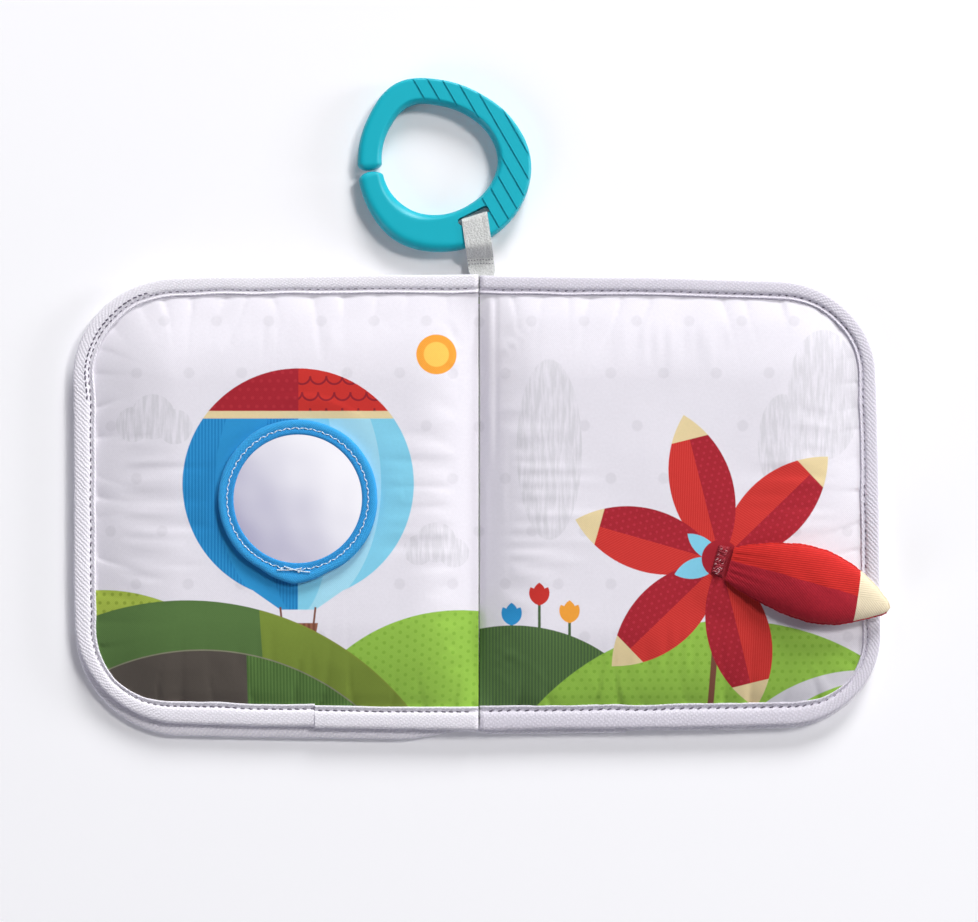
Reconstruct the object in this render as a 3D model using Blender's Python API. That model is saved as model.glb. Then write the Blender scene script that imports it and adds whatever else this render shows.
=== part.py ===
# Baby soft book, lying open on its covers.
# Four padded cloth leaves are edged with binding tape and sewn together along one spine seam:
# the two covers lie below, the two pages above. The left page carries a safety mirror in a cloth
# frame, the right page a stuffed spindle-shaped flap, and the top of the spine a ribbon loop
# with a clip-on plastic ring.
# Metres, +Z up. The origin is the middle of the spine's underside; +X runs over the right page,
# +Y towards the ring.

import math

import bmesh
import bpy
from mathutils import Matrix, Vector

# Leaves, seen from above
LEAF_HEIGHT = 0.180
LEAF_WIDTH = 0.1610
CORNER_RADIUS = 0.038
SPINE_HALF_WIDTH = 0.003
TAPE_WIDTH = 0.009

# How the leaves lie: the fore edges lean a little, and the covers have slipped downwards
LEFT_LEAN = 0.0010
RIGHT_LEAN = 0.0010
LEFT_SLIP = 0.003
RIGHT_SLIP = 0.001
SLIP_FADE = 0.030

# Cloth, tape and the room between touching pieces
CLOTH = 0.0005
TAPE = 0.0007
FIT = 0.0003
LEAF_GAP = 0.0005

# Padding: how high it swells and how far in from the seams it is full
COVER_LOFT = 0.0039
PAGE_LOFT = 0.0055
COVER_EDGE_RISE = 0.014
EDGE_RISE = 0.018
SPINE_RISE = 0.020
SHOULDER = 0.004
# Contour lines of a leaf between its tape and its flat middle, as shares of the two rises
EDGE_LINE_SHARES = (0.45, 0.72, 1.0)
SPINE_LINE_SHARES = (0.12, 0.30, 0.50, 0.72, 1.0)

# The height that every leaf turns about, at the middle of the spine
HINGE_HEIGHT = 0.010

# Mirror on the left page, placed from the fore edge
MIRROR_INSET = 0.0891
MIRROR_Y = 0.0023
MIRROR_OPENING_RADIUS = 0.0255
MIRROR_LAP = 0.0028
MIRROR_THICKNESS = 0.0008
MIRROR_PAD_THICKNESS = 0.0010
FRAME_RADIUS = 0.0316
FRAME_TIP = 0.0017
FRAME_TIP_ANGLE = math.radians(267.0)
FRAME_TIP_SPREAD = math.radians(24.0)

# Stuffed flap on the right page, its root placed from the fore edge
FLAP_INSET = 0.0614
FLAP_Y = -0.0232
FLAP_ANGLE = math.radians(-16.0)
FLAP_LENGTH = 0.0655
FLAP_HALF_WIDTH = 0.0146
FLAP_TOP_LOFT = 0.0058
FLAP_UNDER_LOFT = 0.0030
FLAP_ROOT_LOFT = 0.0003
FLAP_SEAM = 0.0015
# Half-width along the flap, from its root to its tip, as shares of its length and width
FLAP_WIDTH_SHARES = (
    (0.00, 0.41), (0.05, 0.55), (0.13, 0.72), (0.24, 0.88), (0.36, 0.98), (0.46, 1.00),
    (0.58, 0.95), (0.70, 0.81), (0.80, 0.62), (0.90, 0.36), (0.97, 0.14), (1.00, 0.04),
)
FLAP_SECTION_STEPS = 8
ROOT_SEAM_LENGTH = 0.0045
ROOT_SEAM_WIDTH = 0.0120
ROOT_SEAM_HEIGHT = 0.0016
ROOT_CLEARANCE = 0.0010

# Clip-on ring: outer and inner edge every 30 degrees from +X, as shares of its radius
RING_RADIUS = 0.0365
RING_THICKNESS = 0.0070
RING_OUTER_SHARES = (0.989, 0.915, 0.866, 0.904, 1.000, 0.942, 0.923, 0.951, 1.004, 0.992, 0.995, 1.003)
RING_INNER_SHARES = (0.619, 0.603, 0.589, 0.622, 0.710, 0.679, 0.658, 0.652, 0.627, 0.586, 0.566, 0.590)
RING_BEVEL = 0.0016
RING_GAP = 0.0010
RING_GAP_ANGLE = math.radians(187.5)
ARM_END_LENGTH = 0.0030
SLOT_ANGLE = math.radians(32.0)
SLOT_WALL = 0.0045
SLOT_SHIFT = -0.0008
SLOT_LENGTH = 0.0135
SLOT_WIDTH = 0.0030
SLOT_CORNER = 0.0012
GROOVE_COUNT = 6
GROOVE_PITCH = 0.0050
GROOVE_FIRST = 0.0065
GROOVE_ANGLE = math.radians(-60.0)
GROOVE_WIDTH = 0.0005
GROOVE_DEPTH = 0.0005

# Ribbon loop from the top of the spine through the ring's slot: its plies are sewn together,
# then close in on them from the eye that holds the ring
RIBBON_PLY = 0.0009
RIBBON_WIDTH = 0.0110
RIBBON_ROOT_X = 0.0016
RIBBON_ROOT_Z = 0.0036
RIBBON_LEAN = math.radians(7.2)
SEWN_LENGTH = 0.0081
EYE_CLOSING = 0.0040
EYE_SLACK = 0.0030

# Cutters reach this far past what they cut
OVERRUN = 0.004

# How finely the curves are cut
CORNER_STEPS = 8
STRAIGHT_STEPS = 3
SPINE_STEPS = 4
ROUND_STEPS = 56
RING_STEPS = 4
ARM_END_STEPS = 5
ROOT_END_STEPS = 5

# Worked out from the sizes above
CLOTH_HALF_HEIGHT = LEAF_HEIGHT / 2 - TAPE - FIT
CLOTH_WIDTH = LEAF_WIDTH - TAPE - FIT - SPINE_HALF_WIDTH - FIT
CLOTH_CORNER = CORNER_RADIUS - TAPE - FIT
CORNER_U = CLOTH_WIDTH - CLOTH_CORNER
CORNER_V = CLOTH_HALF_HEIGHT - CLOTH_CORNER
TAPE_STACK = TAPE + FIT
DOUBLE_CLOTH = 2 * CLOTH + FIT
MIRROR_X = MIRROR_INSET - LEAF_WIDTH
FLAP_X = LEAF_WIDTH - FLAP_INSET


def clamp(value):
    return min(max(value, 0.0), 1.0)


def smooth(value):
    share = clamp(value)
    return share * share * (3 - 2 * share)


def swell(value):
    return math.sin(math.pi / 2 * clamp(value))


def clear_scene():
    for old in list(bpy.data.objects):
        bpy.data.objects.remove(old, do_unlink=True)


def paint(name, colour, roughness, metallic=0.0):
    material = bpy.data.materials.new(name)
    material.use_nodes = True
    shader = material.node_tree.nodes["Principled BSDF"]
    shader.inputs["Base Color"].default_value = (*colour, 1.0)
    shader.inputs["Roughness"].default_value = roughness
    shader.inputs["Metallic"].default_value = metallic
    material.diffuse_color = (*colour, 1.0)
    return material


def new_object(name, vertices, faces, material=None):
    mesh = bpy.data.meshes.new(name)
    mesh.from_pydata([tuple(point) for point in vertices], [], faces)
    bm = bmesh.new()
    bm.from_mesh(mesh)
    bmesh.ops.recalc_face_normals(bm, faces=bm.faces)
    bm.to_mesh(mesh)
    bm.free()
    mesh.shade_smooth()
    mesh.set_sharp_from_angle(angle=math.radians(40.0))
    if material:
        mesh.materials.append(material)
    piece = bpy.data.objects.new(name, mesh)
    bpy.context.scene.collection.objects.link(piece)
    return piece


def cutter(name, vertices, faces):
    tool = new_object(name, vertices, faces)
    tool.hide_render = True
    tool.display_type = "WIRE"
    return tool


def cut(piece, tool):
    modifier = piece.modifiers.new(tool.name, "BOOLEAN")
    modifier.operation = "DIFFERENCE"
    modifier.solver = "EXACT"
    modifier.object = tool


def pivot(name, place, parent=None):
    empty = bpy.data.objects.new(name, None)
    bpy.context.scene.collection.objects.link(empty)
    empty["place"] = tuple(place)
    empty.location = Vector(place)
    if parent:
        empty.parent = parent
        empty.location = Vector(place) - Vector(parent["place"])
    return empty


def carry(empty, pieces):
    for piece in pieces:
        piece.parent = empty
        piece.matrix_parent_inverse = Matrix.Translation(-Vector(empty["place"]))


# A leaf's own frame: u runs from the spine edge of its cloth to the fore edge, v along the spine


def edge_distance(u, v):
    """How far a point of a leaf lies in from the three taped edges."""
    past_u = u - CORNER_U
    past_v = abs(v) - CORNER_V
    if past_u > 0 and past_v > 0:
        return CLOTH_CORNER - math.hypot(past_u, past_v)
    return min(CLOTH_WIDTH - u, CLOTH_HALF_HEIGHT - abs(v))


def leaf_line(inset, spine_inset, closed=True):
    """Points round a leaf, set in from its edges; the spine edge closes the line."""
    radius = CLOTH_CORNER - inset
    half = CLOTH_HALF_HEIGHT - inset
    points = []
    for step in range(STRAIGHT_STEPS):
        points.append((spine_inset + (CORNER_U - spine_inset) * step / STRAIGHT_STEPS, -half))
    for step in range(CORNER_STEPS):
        turn = math.pi / 2 * step / CORNER_STEPS
        points.append((CORNER_U + radius * math.sin(turn), -CORNER_V - radius * math.cos(turn)))
    for step in range(STRAIGHT_STEPS):
        points.append((CORNER_U + radius, -CORNER_V + 2 * CORNER_V * step / STRAIGHT_STEPS))
    for step in range(CORNER_STEPS):
        turn = math.pi / 2 * step / CORNER_STEPS
        points.append((CORNER_U + radius * math.cos(turn), CORNER_V + radius * math.sin(turn)))
    for step in range(STRAIGHT_STEPS + 1):
        points.append((CORNER_U + (spine_inset - CORNER_U) * step / STRAIGHT_STEPS, half))
    if closed:
        shoulder = half - (SHOULDER if inset else TAPE_WIDTH)
        middle = shoulder - SHOULDER
        points.append((spine_inset, shoulder))
        for step in range(SPINE_STEPS + 1):
            points.append((spine_inset, middle - 2 * middle * step / SPINE_STEPS))
        points.append((spine_inset, -shoulder))
    return points


def leaf_lines(first, last):
    """The contour lines of a leaf: 0 is its edge, 1 the tape's inner edge, 5 its flat middle."""
    insets = [0.0, TAPE_WIDTH, TAPE_WIDTH + SHOULDER]
    insets += [TAPE_WIDTH + share * EDGE_RISE for share in EDGE_LINE_SHARES]
    spine_insets = [0.0] + [share * SPINE_RISE for share in SPINE_LINE_SHARES]
    return [leaf_line(*pair) for pair in list(zip(insets, spine_insets))[first:last + 1]]


def tape_lift(u, v):
    """1 under the binding tape, falling to 0 over the shoulder inside it."""
    return 1 - smooth((edge_distance(u, v) - TAPE_WIDTH) / SHOULDER)


def cover_low(u, v):
    return TAPE_STACK * tape_lift(u, v)


def cover_high(u, v):
    full = swell(u / SPINE_RISE) * swell((edge_distance(u, v) - TAPE_WIDTH) / COVER_EDGE_RISE)
    return cover_low(u, v) + DOUBLE_CLOTH + COVER_LOFT * full


def page_low(u, v, slip):
    """A page's tape lies on the cover's tape, the rest on the cover wherever that has slipped to."""
    below = v + slip * smooth(u / SLIP_FADE)
    skin = cover_high(u, below) + TAPE_STACK * tape_lift(u, below)
    lift = tape_lift(u, v)
    taped = DOUBLE_CLOTH + 2 * TAPE_STACK
    return skin + (taped - skin) * lift + LEAF_GAP + TAPE_STACK * lift


def page_high(u, v, slip):
    full = swell(u / SPINE_RISE) * swell((edge_distance(u, v) - TAPE_WIDTH) / EDGE_RISE)
    return page_low(u, v, slip) + DOUBLE_CLOTH + PAGE_LOFT * full


def leaf(side, lean, slip=0.0):
    """Returns the function that places a leaf's point in the book."""

    def place(u, v, z):
        x = side * (SPINE_HALF_WIDTH + FIT + u) - lean * v / CLOTH_HALF_HEIGHT * u / CLOTH_WIDTH
        return (x, v - slip * smooth(u / SLIP_FADE), z)

    return place


def sheet(name, lines, low, high, place, material):
    """A closed slab between two height functions, over the area inside its first line."""
    count = len(lines[0])
    vertices = [place(u, v, low(u, v)) for line in lines for u, v in line]
    vertices += [place(u, v, high(u, v)) for line in lines for u, v in line]
    top = count * len(lines)
    taped = len(leaf_line(0.0, 0.0, closed=False)) - 1
    faces = []
    for ring in range(len(lines) - 1):
        for i in range(count):
            j = (i + 1) % count
            a, b, c, d = ring * count + i, ring * count + j, (ring + 1) * count + j, (ring + 1) * count + i
            cells = [(a, b, c, d)]
            if i >= taped:
                # Along the spine the fold of each cell follows the tape's inner edge
                cells = [(a, b, d), (b, c, d)] if lines[0][i][1] > 0 else [(a, b, c), (a, c, d)]
            for cell in cells:
                faces.append(cell)
                faces.append(tuple(top + corner for corner in cell))
    inner = (len(lines) - 1) * count
    faces.append(tuple(inner + i for i in range(count)))
    faces.append(tuple(top + inner + i for i in range(count)))
    for i in range(count):
        j = (i + 1) % count
        faces.append((i, j, top + j, top + i))
    return new_object(name, vertices, faces, material)


def binding(name, low, high, place, material):
    """Tape folded round a leaf's three free edges, as a U-shaped section swept along them."""
    outside = -(FIT + TAPE)
    inside = -FIT
    rounding = TAPE / 2
    section = (
        (TAPE_WIDTH, low, -FIT), (inside, low, -FIT), (inside, high, FIT), (TAPE_WIDTH, high, FIT),
        (TAPE_WIDTH, high, TAPE_STACK), (outside + rounding, high, TAPE_STACK),
        (outside, high, TAPE_STACK - rounding), (outside, low, rounding - TAPE_STACK),
        (outside + rounding, low, -TAPE_STACK), (TAPE_WIDTH, low, -TAPE_STACK),
    )
    vertices = []
    for inset, height, offset in section:
        edge = leaf_line(max(inset, 0.0), 0.0, closed=False)
        for (u, v), (edge_u, edge_v) in zip(leaf_line(inset, 0.0, closed=False), edge):
            vertices.append(place(u, v, height(edge_u, edge_v) + offset))
    count = len(edge)
    rows = len(section)
    faces = []
    for row in range(rows):
        after = (row + 1) % rows
        for i in range(count - 1):
            faces.append((row * count + i, row * count + i + 1, after * count + i + 1, after * count + i))
    faces.append(tuple(row * count for row in range(rows)))
    faces.append(tuple(row * count + count - 1 for row in range(rows)))
    return new_object(name, vertices, faces, material)


def padded_leaf(name, under, over, place, low, high, flat_under, cloths, tape, wadding):
    """Two cloths with wadding between them and tape round the edge."""
    under_cloth, over_cloth = cloths
    return [
        sheet(f"{name}_{under}_cloth", leaf_lines(0, 2 if flat_under else 5), low,
              lambda u, v: low(u, v) + CLOTH, place, under_cloth),
        sheet(f"{name}_padding", leaf_lines(2, 5), lambda u, v: low(u, v) + CLOTH + FIT,
              lambda u, v: high(u, v) - CLOTH - FIT, place, wadding),
        sheet(f"{name}_{over}_cloth", leaf_lines(0, 5), lambda u, v: high(u, v) - CLOTH,
              high, place, over_cloth),
        binding(f"{name}_binding", low, high, place, tape),
    ]


def spine_seam(material):
    """The sewn-down strip that holds all four leaves, with a shallow valley on top."""
    half_length = LEAF_HEIGHT / 2
    height = page_high(0.0, 0.0, 0.0)
    section = (
        (-SPINE_HALF_WIDTH, 0.0), (SPINE_HALF_WIDTH, 0.0), (SPINE_HALF_WIDTH, height),
        (0.0, height - CLOTH), (-SPINE_HALF_WIDTH, height),
    )
    vertices = [(x, y, z) for y in (-half_length, half_length) for x, z in section]
    count = len(section)
    faces = [tuple(range(count)), tuple(range(count, 2 * count))]
    for i in range(count):
        j = (i + 1) % count
        faces.append((i, j, count + j, count + i))
    return new_object("spine_seam", vertices, faces, material)


def turned(name, section, reach, centre, material):
    """A section of (radius, height) pairs carried round a centre; reach stretches each radius."""
    vertices = []
    for radius, height, stretch in section:
        for step in range(ROUND_STEPS):
            turn = math.tau * step / ROUND_STEPS
            out = radius + stretch * reach(turn)
            vertices.append((centre[0] + out * math.cos(turn), centre[1] + out * math.sin(turn), height))
    rows = len(section)
    faces = []
    for row in range(rows):
        after = (row + 1) % rows
        for i in range(ROUND_STEPS):
            j = (i + 1) % ROUND_STEPS
            faces.append((row * ROUND_STEPS + i, row * ROUND_STEPS + j,
                          after * ROUND_STEPS + j, after * ROUND_STEPS + i))
    return new_object(name, vertices, faces, material)


def disc(name, radius, low, thickness, centre, material):
    vertices = []
    for z in (low, low + thickness):
        for step in range(ROUND_STEPS):
            turn = math.tau * step / ROUND_STEPS
            vertices.append((centre[0] + radius * math.cos(turn), centre[1] + radius * math.sin(turn), z))
    faces = [tuple(range(ROUND_STEPS)), tuple(range(ROUND_STEPS, 2 * ROUND_STEPS))]
    for i in range(ROUND_STEPS):
        j = (i + 1) % ROUND_STEPS
        faces.append((i, j, ROUND_STEPS + j, ROUND_STEPS + i))
    return new_object(name, vertices, faces, material)


def frame_tip(turn):
    """The frame's cloth comes to a point where its ends are sewn together."""
    away = abs((turn - FRAME_TIP_ANGLE + math.pi) % math.tau - math.pi)
    return FRAME_TIP * clamp(1 - away / FRAME_TIP_SPREAD)


def mirror(page_level, foam, silver, cloth):
    """Foam pad, mirror sheet and the cloth frame that laps over the sheet's edge."""
    centre = (MIRROR_X, MIRROR_Y)
    radius = MIRROR_OPENING_RADIUS + MIRROR_LAP
    pad_low = page_level + FIT
    sheet_low = pad_low + MIRROR_PAD_THICKNESS + FIT
    lip_low = sheet_low + MIRROR_THICKNESS + FIT
    lip_high = lip_low + TAPE
    wall = radius + FIT
    section = (
        (MIRROR_OPENING_RADIUS, lip_low, 0.0), (wall, lip_low, 0.0), (wall, pad_low, 0.0),
        (FRAME_RADIUS, pad_low, 1.0), (FRAME_RADIUS, lip_low, 1.0),
        (FRAME_RADIUS - TAPE, lip_high, 1.0), (MIRROR_OPENING_RADIUS + TAPE, lip_high, 0.0),
    )
    return [
        disc("mirror_backing_pad", radius, pad_low, MIRROR_PAD_THICKNESS, centre, foam),
        disc("mirror_sheet", radius, sheet_low, MIRROR_THICKNESS, centre, silver),
        turned("mirror_frame", section, frame_tip, centre, cloth),
    ]


def read_shares(table, share):
    """Straight-line reading of a table of (place, value) shares."""
    for (start, value), (end, following) in zip(table, table[1:]):
        if share <= end:
            return value + (following - value) * (share - start) / (end - start)
    return table[-1][1]


def flap_point(along, across, z):
    """A point of the flap, from its root's middle along its length."""
    x = FLAP_X + along * math.cos(FLAP_ANGLE) - across * math.sin(FLAP_ANGLE)
    return (x, FLAP_Y + along * math.sin(FLAP_ANGLE) + across * math.cos(FLAP_ANGLE), z)


def half_spindle(name, shares, seam_z, inset, floor, loft, way, material=None):
    """Half of a stuffed spindle: flat along its seam, domed away from it (way is 1 or -1)."""
    vertices = []
    steps = FLAP_SECTION_STEPS
    for share in shares:
        half = read_shares(FLAP_WIDTH_SHARES, share) * FLAP_HALF_WIDTH - inset
        for step in range(steps + 1):
            across = half * math.cos(math.pi * step / steps)
            dome = (FLAP_ROOT_LOFT + loft * math.sin(math.pi * share)) * math.sin(math.pi * step / steps)
            vertices.append(flap_point(share * FLAP_LENGTH, across, seam_z(share) + way * (floor[1] + dome)))
        for side in (-1, 1):
            vertices.append(flap_point(share * FLAP_LENGTH, side * half, seam_z(share) + way * floor[0]))
    count = steps + 3
    faces = []
    for row in range(len(shares) - 1):
        for i in range(count):
            j = (i + 1) % count
            faces.append((row * count + i, row * count + j, (row + 1) * count + j, (row + 1) * count + i))
    faces.append(tuple(range(count)))
    faces.append(tuple((len(shares) - 1) * count + i for i in range(count)))
    if material:
        return new_object(name, vertices, faces, material)
    return cutter(name, vertices, faces)


def stuffing(seam_z, shares, material):
    """The filling: the hollow between the two cloths, less a fit all round."""
    vertices = []
    steps = FLAP_SECTION_STEPS
    for share in shares:
        half = read_shares(FLAP_WIDTH_SHARES, share) * FLAP_HALF_WIDTH - 2 * FLAP_SEAM
        full = math.sin(math.pi * share)
        for way, loft in ((1, FLAP_TOP_LOFT), (-1, FLAP_UNDER_LOFT)):
            for step in range(steps + 1):
                turn = math.pi * step / steps if way > 0 else math.pi * (1 - step / steps)
                room = (half / (half + FLAP_SEAM)) ** 2
                cover = math.sqrt(1 - room * math.cos(turn) ** 2)
                z = seam_z(share) + way * ((FLAP_ROOT_LOFT + loft * full) * cover - FIT / 2)
                vertices.append(flap_point(share * FLAP_LENGTH, half * math.cos(turn), z))
    count = 2 * (steps + 1)
    faces = []
    for row in range(len(shares) - 1):
        for i in range(count):
            j = (i + 1) % count
            faces.append((row * count + i, row * count + j, (row + 1) * count + j, (row + 1) * count + i))
    faces.append(tuple(range(count)))
    faces.append(tuple((len(shares) - 1) * count + i for i in range(count)))
    return new_object("flap_stuffing", vertices, faces, material)


def flap(page_level, cloth, filling):
    """Two sewn cloths round a filling; the underside rests on the page."""
    root_z = flap_root_z(page_level)

    def seam_z(share):
        return root_z + FLAP_UNDER_LOFT * math.sin(math.pi * share)

    shares = [share for share, _ in FLAP_WIDTH_SHARES]
    hollow = shares[1:-3]
    full = shares[2:-3]
    pieces = []
    for name, loft, way in (("flap_top_cloth", FLAP_TOP_LOFT, 1), ("flap_under_cloth", FLAP_UNDER_LOFT, -1)):
        shell = half_spindle(name, shares, seam_z, 0.0, (FIT / 2, FIT / 2 + CLOTH), loft, way, cloth)
        room = half_spindle(f"{name}_room", hollow, seam_z, FLAP_SEAM, (-OVERRUN, FIT / 2), loft, way)
        cut(shell, room)
        pieces.append(shell)
    pieces.append(stuffing(seam_z, full, filling))
    return pieces


def flap_root_z(page_level):
    """Height of the flap's seam at its root, which rests on the page."""
    return page_level + FIT + FLAP_ROOT_LOFT + CLOTH + FIT / 2


def flap_root_seam(page_level, cloth):
    """The flap's gathered end, stitched to the page far enough back for the flap to fold over."""
    front = page_level - flap_root_z(page_level) - ROOT_CLEARANCE
    back = front - ROOT_SEAM_LENGTH
    half = ROOT_SEAM_WIDTH / 2
    rounding = ROOT_SEAM_HEIGHT / 2
    low = page_level + FIT
    high = low + ROOT_SEAM_HEIGHT
    outline = (
        (back, rounding - half), (back + rounding, -half), (front, -half),
        (front, half), (back + rounding, half), (back, half - rounding),
    )
    vertices = [flap_point(along, across, low) for along, across in outline]
    vertices += [flap_point(along, across, high - rounding) for along, across in outline]
    for along, across in outline:
        inward = along + (rounding if along < (front + back) / 2 else 0.0)
        vertices.append(flap_point(inward, across * (1 - rounding / half), high))
    count = len(outline)
    faces = [tuple(range(count)), tuple(range(2 * count, 3 * count))]
    for row in range(2):
        for i in range(count):
            j = (i + 1) % count
            faces.append((row * count + i, row * count + j, (row + 1) * count + j, (row + 1) * count + i))
    return new_object("flap_root_seam", vertices, faces, cloth)


def ring_edge(shares, turn):
    """Radius of one of the ring's edges: a smooth closed curve through its shares."""
    place = turn / math.tau * len(shares)
    start = math.floor(place)
    t = place - start
    before, here, after, beyond = (shares[(start + k) % len(shares)] for k in (-1, 0, 1, 2))
    value = here + 0.5 * t * (after - before + t * (
        2 * before - 5 * here + 4 * after - beyond + t * (3 * (here - after) + beyond - before)))
    return RING_RADIUS * value


def ring_outline():
    """The C-shaped outline: outer edge, one rounded arm end, inner edge, the other end."""
    gap_radius = ring_edge(RING_OUTER_SHARES, RING_GAP_ANGLE)
    start = RING_GAP_ANGLE + (RING_GAP / 2 + ARM_END_LENGTH) / gap_radius
    end = RING_GAP_ANGLE + math.tau - (RING_GAP / 2 + ARM_END_LENGTH) / gap_radius
    count = len(RING_OUTER_SHARES) * RING_STEPS
    turns = [start + (end - start) * step / count for step in range(count + 1)]

    def arm_end(turn, way):
        outer = ring_edge(RING_OUTER_SHARES, turn)
        inner = ring_edge(RING_INNER_SHARES, turn)
        middle, half = (outer + inner) / 2, (outer - inner) / 2
        points = []
        for step in range(1, ARM_END_STEPS):
            bend = math.pi * step / ARM_END_STEPS
            radius = middle + way * half * math.cos(bend)
            past = way * ARM_END_LENGTH * math.sin(bend)
            points.append((radius * math.cos(turn) - past * math.sin(turn),
                           radius * math.sin(turn) + past * math.cos(turn)))
        return points

    def edge(shares, angles):
        return [(ring_edge(shares, turn) * math.cos(turn), ring_edge(shares, turn) * math.sin(turn))
                for turn in angles]

    outline = edge(RING_OUTER_SHARES, turns) + arm_end(end, 1)
    outline += edge(RING_INNER_SHARES, reversed(turns)) + arm_end(start, -1)
    return outline


def prism(outline, low, high):
    count = len(outline)
    vertices = [(x, y, z) for z in (low, high) for x, y in outline]
    faces = [tuple(range(count)), tuple(range(count, 2 * count))]
    for i in range(count):
        j = (i + 1) % count
        faces.append((i, j, count + j, count + i))
    return vertices, faces


def ring_low():
    """The ring lies on the ribbon's lower ply."""
    return RIBBON_PLY + FIT


def slot_offset():
    """From the ring's middle to the slot's, which keeps a wall of plastic beside the hole."""
    return ring_edge(RING_INNER_SHARES, SLOT_ANGLE - math.pi / 2) + SLOT_WALL + SLOT_WIDTH / 2


def eye_length():
    """The ribbon's eye takes the ring's band outside the slot, with some slack."""
    band = ring_edge(RING_OUTER_SHARES, SLOT_ANGLE - math.pi / 2) - slot_offset() - SLOT_WIDTH / 2
    return band + EYE_SLACK


def in_slot_frame(along, out):
    """Along the ring's slot, and outwards from the ring's middle."""
    along += SLOT_SHIFT
    return Vector((along * math.cos(SLOT_ANGLE) + out * math.sin(SLOT_ANGLE),
                   along * math.sin(SLOT_ANGLE) - out * math.cos(SLOT_ANGLE)))


def ribbon_ends():
    """Where the ribbon crosses the slot, and where it leaves the spine."""
    root = Vector((RIBBON_ROOT_X, LEAF_HEIGHT / 2 + FIT + RIBBON_PLY))
    length = SEWN_LENGTH + EYE_CLOSING + eye_length()
    return root + length * Vector((-math.sin(RIBBON_LEAN), math.cos(RIBBON_LEAN))), root


def ring_middle():
    """The ribbon lies against the slot's outer wall, which sets the ring's place."""
    crossing, _ = ribbon_ends()
    return crossing - in_slot_frame(0.0, slot_offset() + SLOT_WIDTH / 2 - FIT - RIBBON_PLY / 2)


def link_ring(material):
    low = ring_low()
    centre = ring_middle()
    outline = [(centre.x + x, centre.y + y) for x, y in ring_outline()]
    vertices, faces = prism(outline, low, low + RING_THICKNESS)
    ring = new_object("link_ring", vertices, faces, material)
    bevel = ring.modifiers.new("rounded_edges", "BEVEL")
    bevel.width = RING_BEVEL
    bevel.segments = 2
    bevel.limit_method = "ANGLE"
    bevel.angle_limit = math.radians(60.0)

    half, width = SLOT_LENGTH / 2, SLOT_WIDTH / 2
    corners = (
        (SLOT_CORNER - half, -width), (half - SLOT_CORNER, -width), (half, SLOT_CORNER - width),
        (half, width - SLOT_CORNER), (half - SLOT_CORNER, width), (SLOT_CORNER - half, width),
        (-half, width - SLOT_CORNER), (-half, SLOT_CORNER - width),
    )
    slot = [tuple(centre + in_slot_frame(along, slot_offset() + out)) for along, out in corners]
    cut(ring, cutter("ring_slot", *prism(slot, low - OVERRUN, low + RING_THICKNESS + OVERRUN)))

    vertices, faces = [], []
    along = Vector((math.cos(GROOVE_ANGLE), math.sin(GROOVE_ANGLE)))
    across = Vector((-along.y, along.x))
    for number in range(GROOVE_COUNT):
        middle = centre + across * (GROOVE_FIRST + number * GROOVE_PITCH)
        reach = along * (RING_RADIUS + OVERRUN)
        side = across * (GROOVE_WIDTH / 2)
        outline = [middle - reach - side, middle + reach - side, middle + reach + side, middle - reach + side]
        top = low + RING_THICKNESS
        points, sides = prism([tuple(point) for point in outline], top - GROOVE_DEPTH, top + OVERRUN)
        faces += [tuple(len(vertices) + corner for corner in face) for face in sides]
        vertices += points
    cut(ring, cutter("ring_grooves", vertices, faces))
    return ring


def ribbon_solid(name, section, half_width, material=None):
    """A section of (along, height) pairs, as wide as the ribbon and turned a little as it runs."""
    start, root = ribbon_ends()
    run = root - start
    direction = run.normalized()
    vertices = []
    for side in (-1, 1):
        for along, z in section:
            turn = SLOT_ANGLE * (1 - clamp(along / run.length))
            middle = start + direction * along
            vertices.append((middle.x + side * half_width * math.cos(turn),
                             middle.y + side * half_width * math.sin(turn), z))
    count = len(section)
    faces = [tuple(range(count)), tuple(range(count, 2 * count))]
    for i in range(count):
        j = (i + 1) % count
        faces.append((i, j, count + j, count + i))
    if material:
        return new_object(name, vertices, faces, material)
    return cutter(name, vertices, faces)


def hang_loop(material):
    """Ribbon folded through the slot, its two plies sewn together towards the spine."""
    start, root = ribbon_ends()
    length = (root - start).length
    ply, half = RIBBON_PLY, RIBBON_PLY / 2
    top = ring_low() + RING_THICKNESS + FIT + ply
    eye = eye_length()
    closed = eye + EYE_CLOSING
    low, high = RIBBON_ROOT_Z - ply, RIBBON_ROOT_Z + ply
    outer = [(-half, ply), (half, 0.0), (eye / 2, 0.0), (eye, 0.0), (closed, low)]
    for step in range(ROOT_END_STEPS + 1):
        bend = math.pi * step / ROOT_END_STEPS
        outer.append((length + ply * math.sin(bend), RIBBON_ROOT_Z - ply * math.cos(bend)))
    outer += [(closed, high), (eye, top), (eye / 2, top), (half, top), (-half, top - ply)]
    inner = [
        (half, ply), (eye / 2, ply), (eye - half, ply), (closed - ply, RIBBON_ROOT_Z),
        (eye - half, top - ply), (eye / 2, top - ply), (half, top - ply),
    ]
    ribbon = ribbon_solid("hang_loop_ribbon", outer, RIBBON_WIDTH / 2, material)
    cut(ribbon, ribbon_solid("hang_loop_eye", inner, RIBBON_WIDTH / 2 + OVERRUN))
    return ribbon


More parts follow.
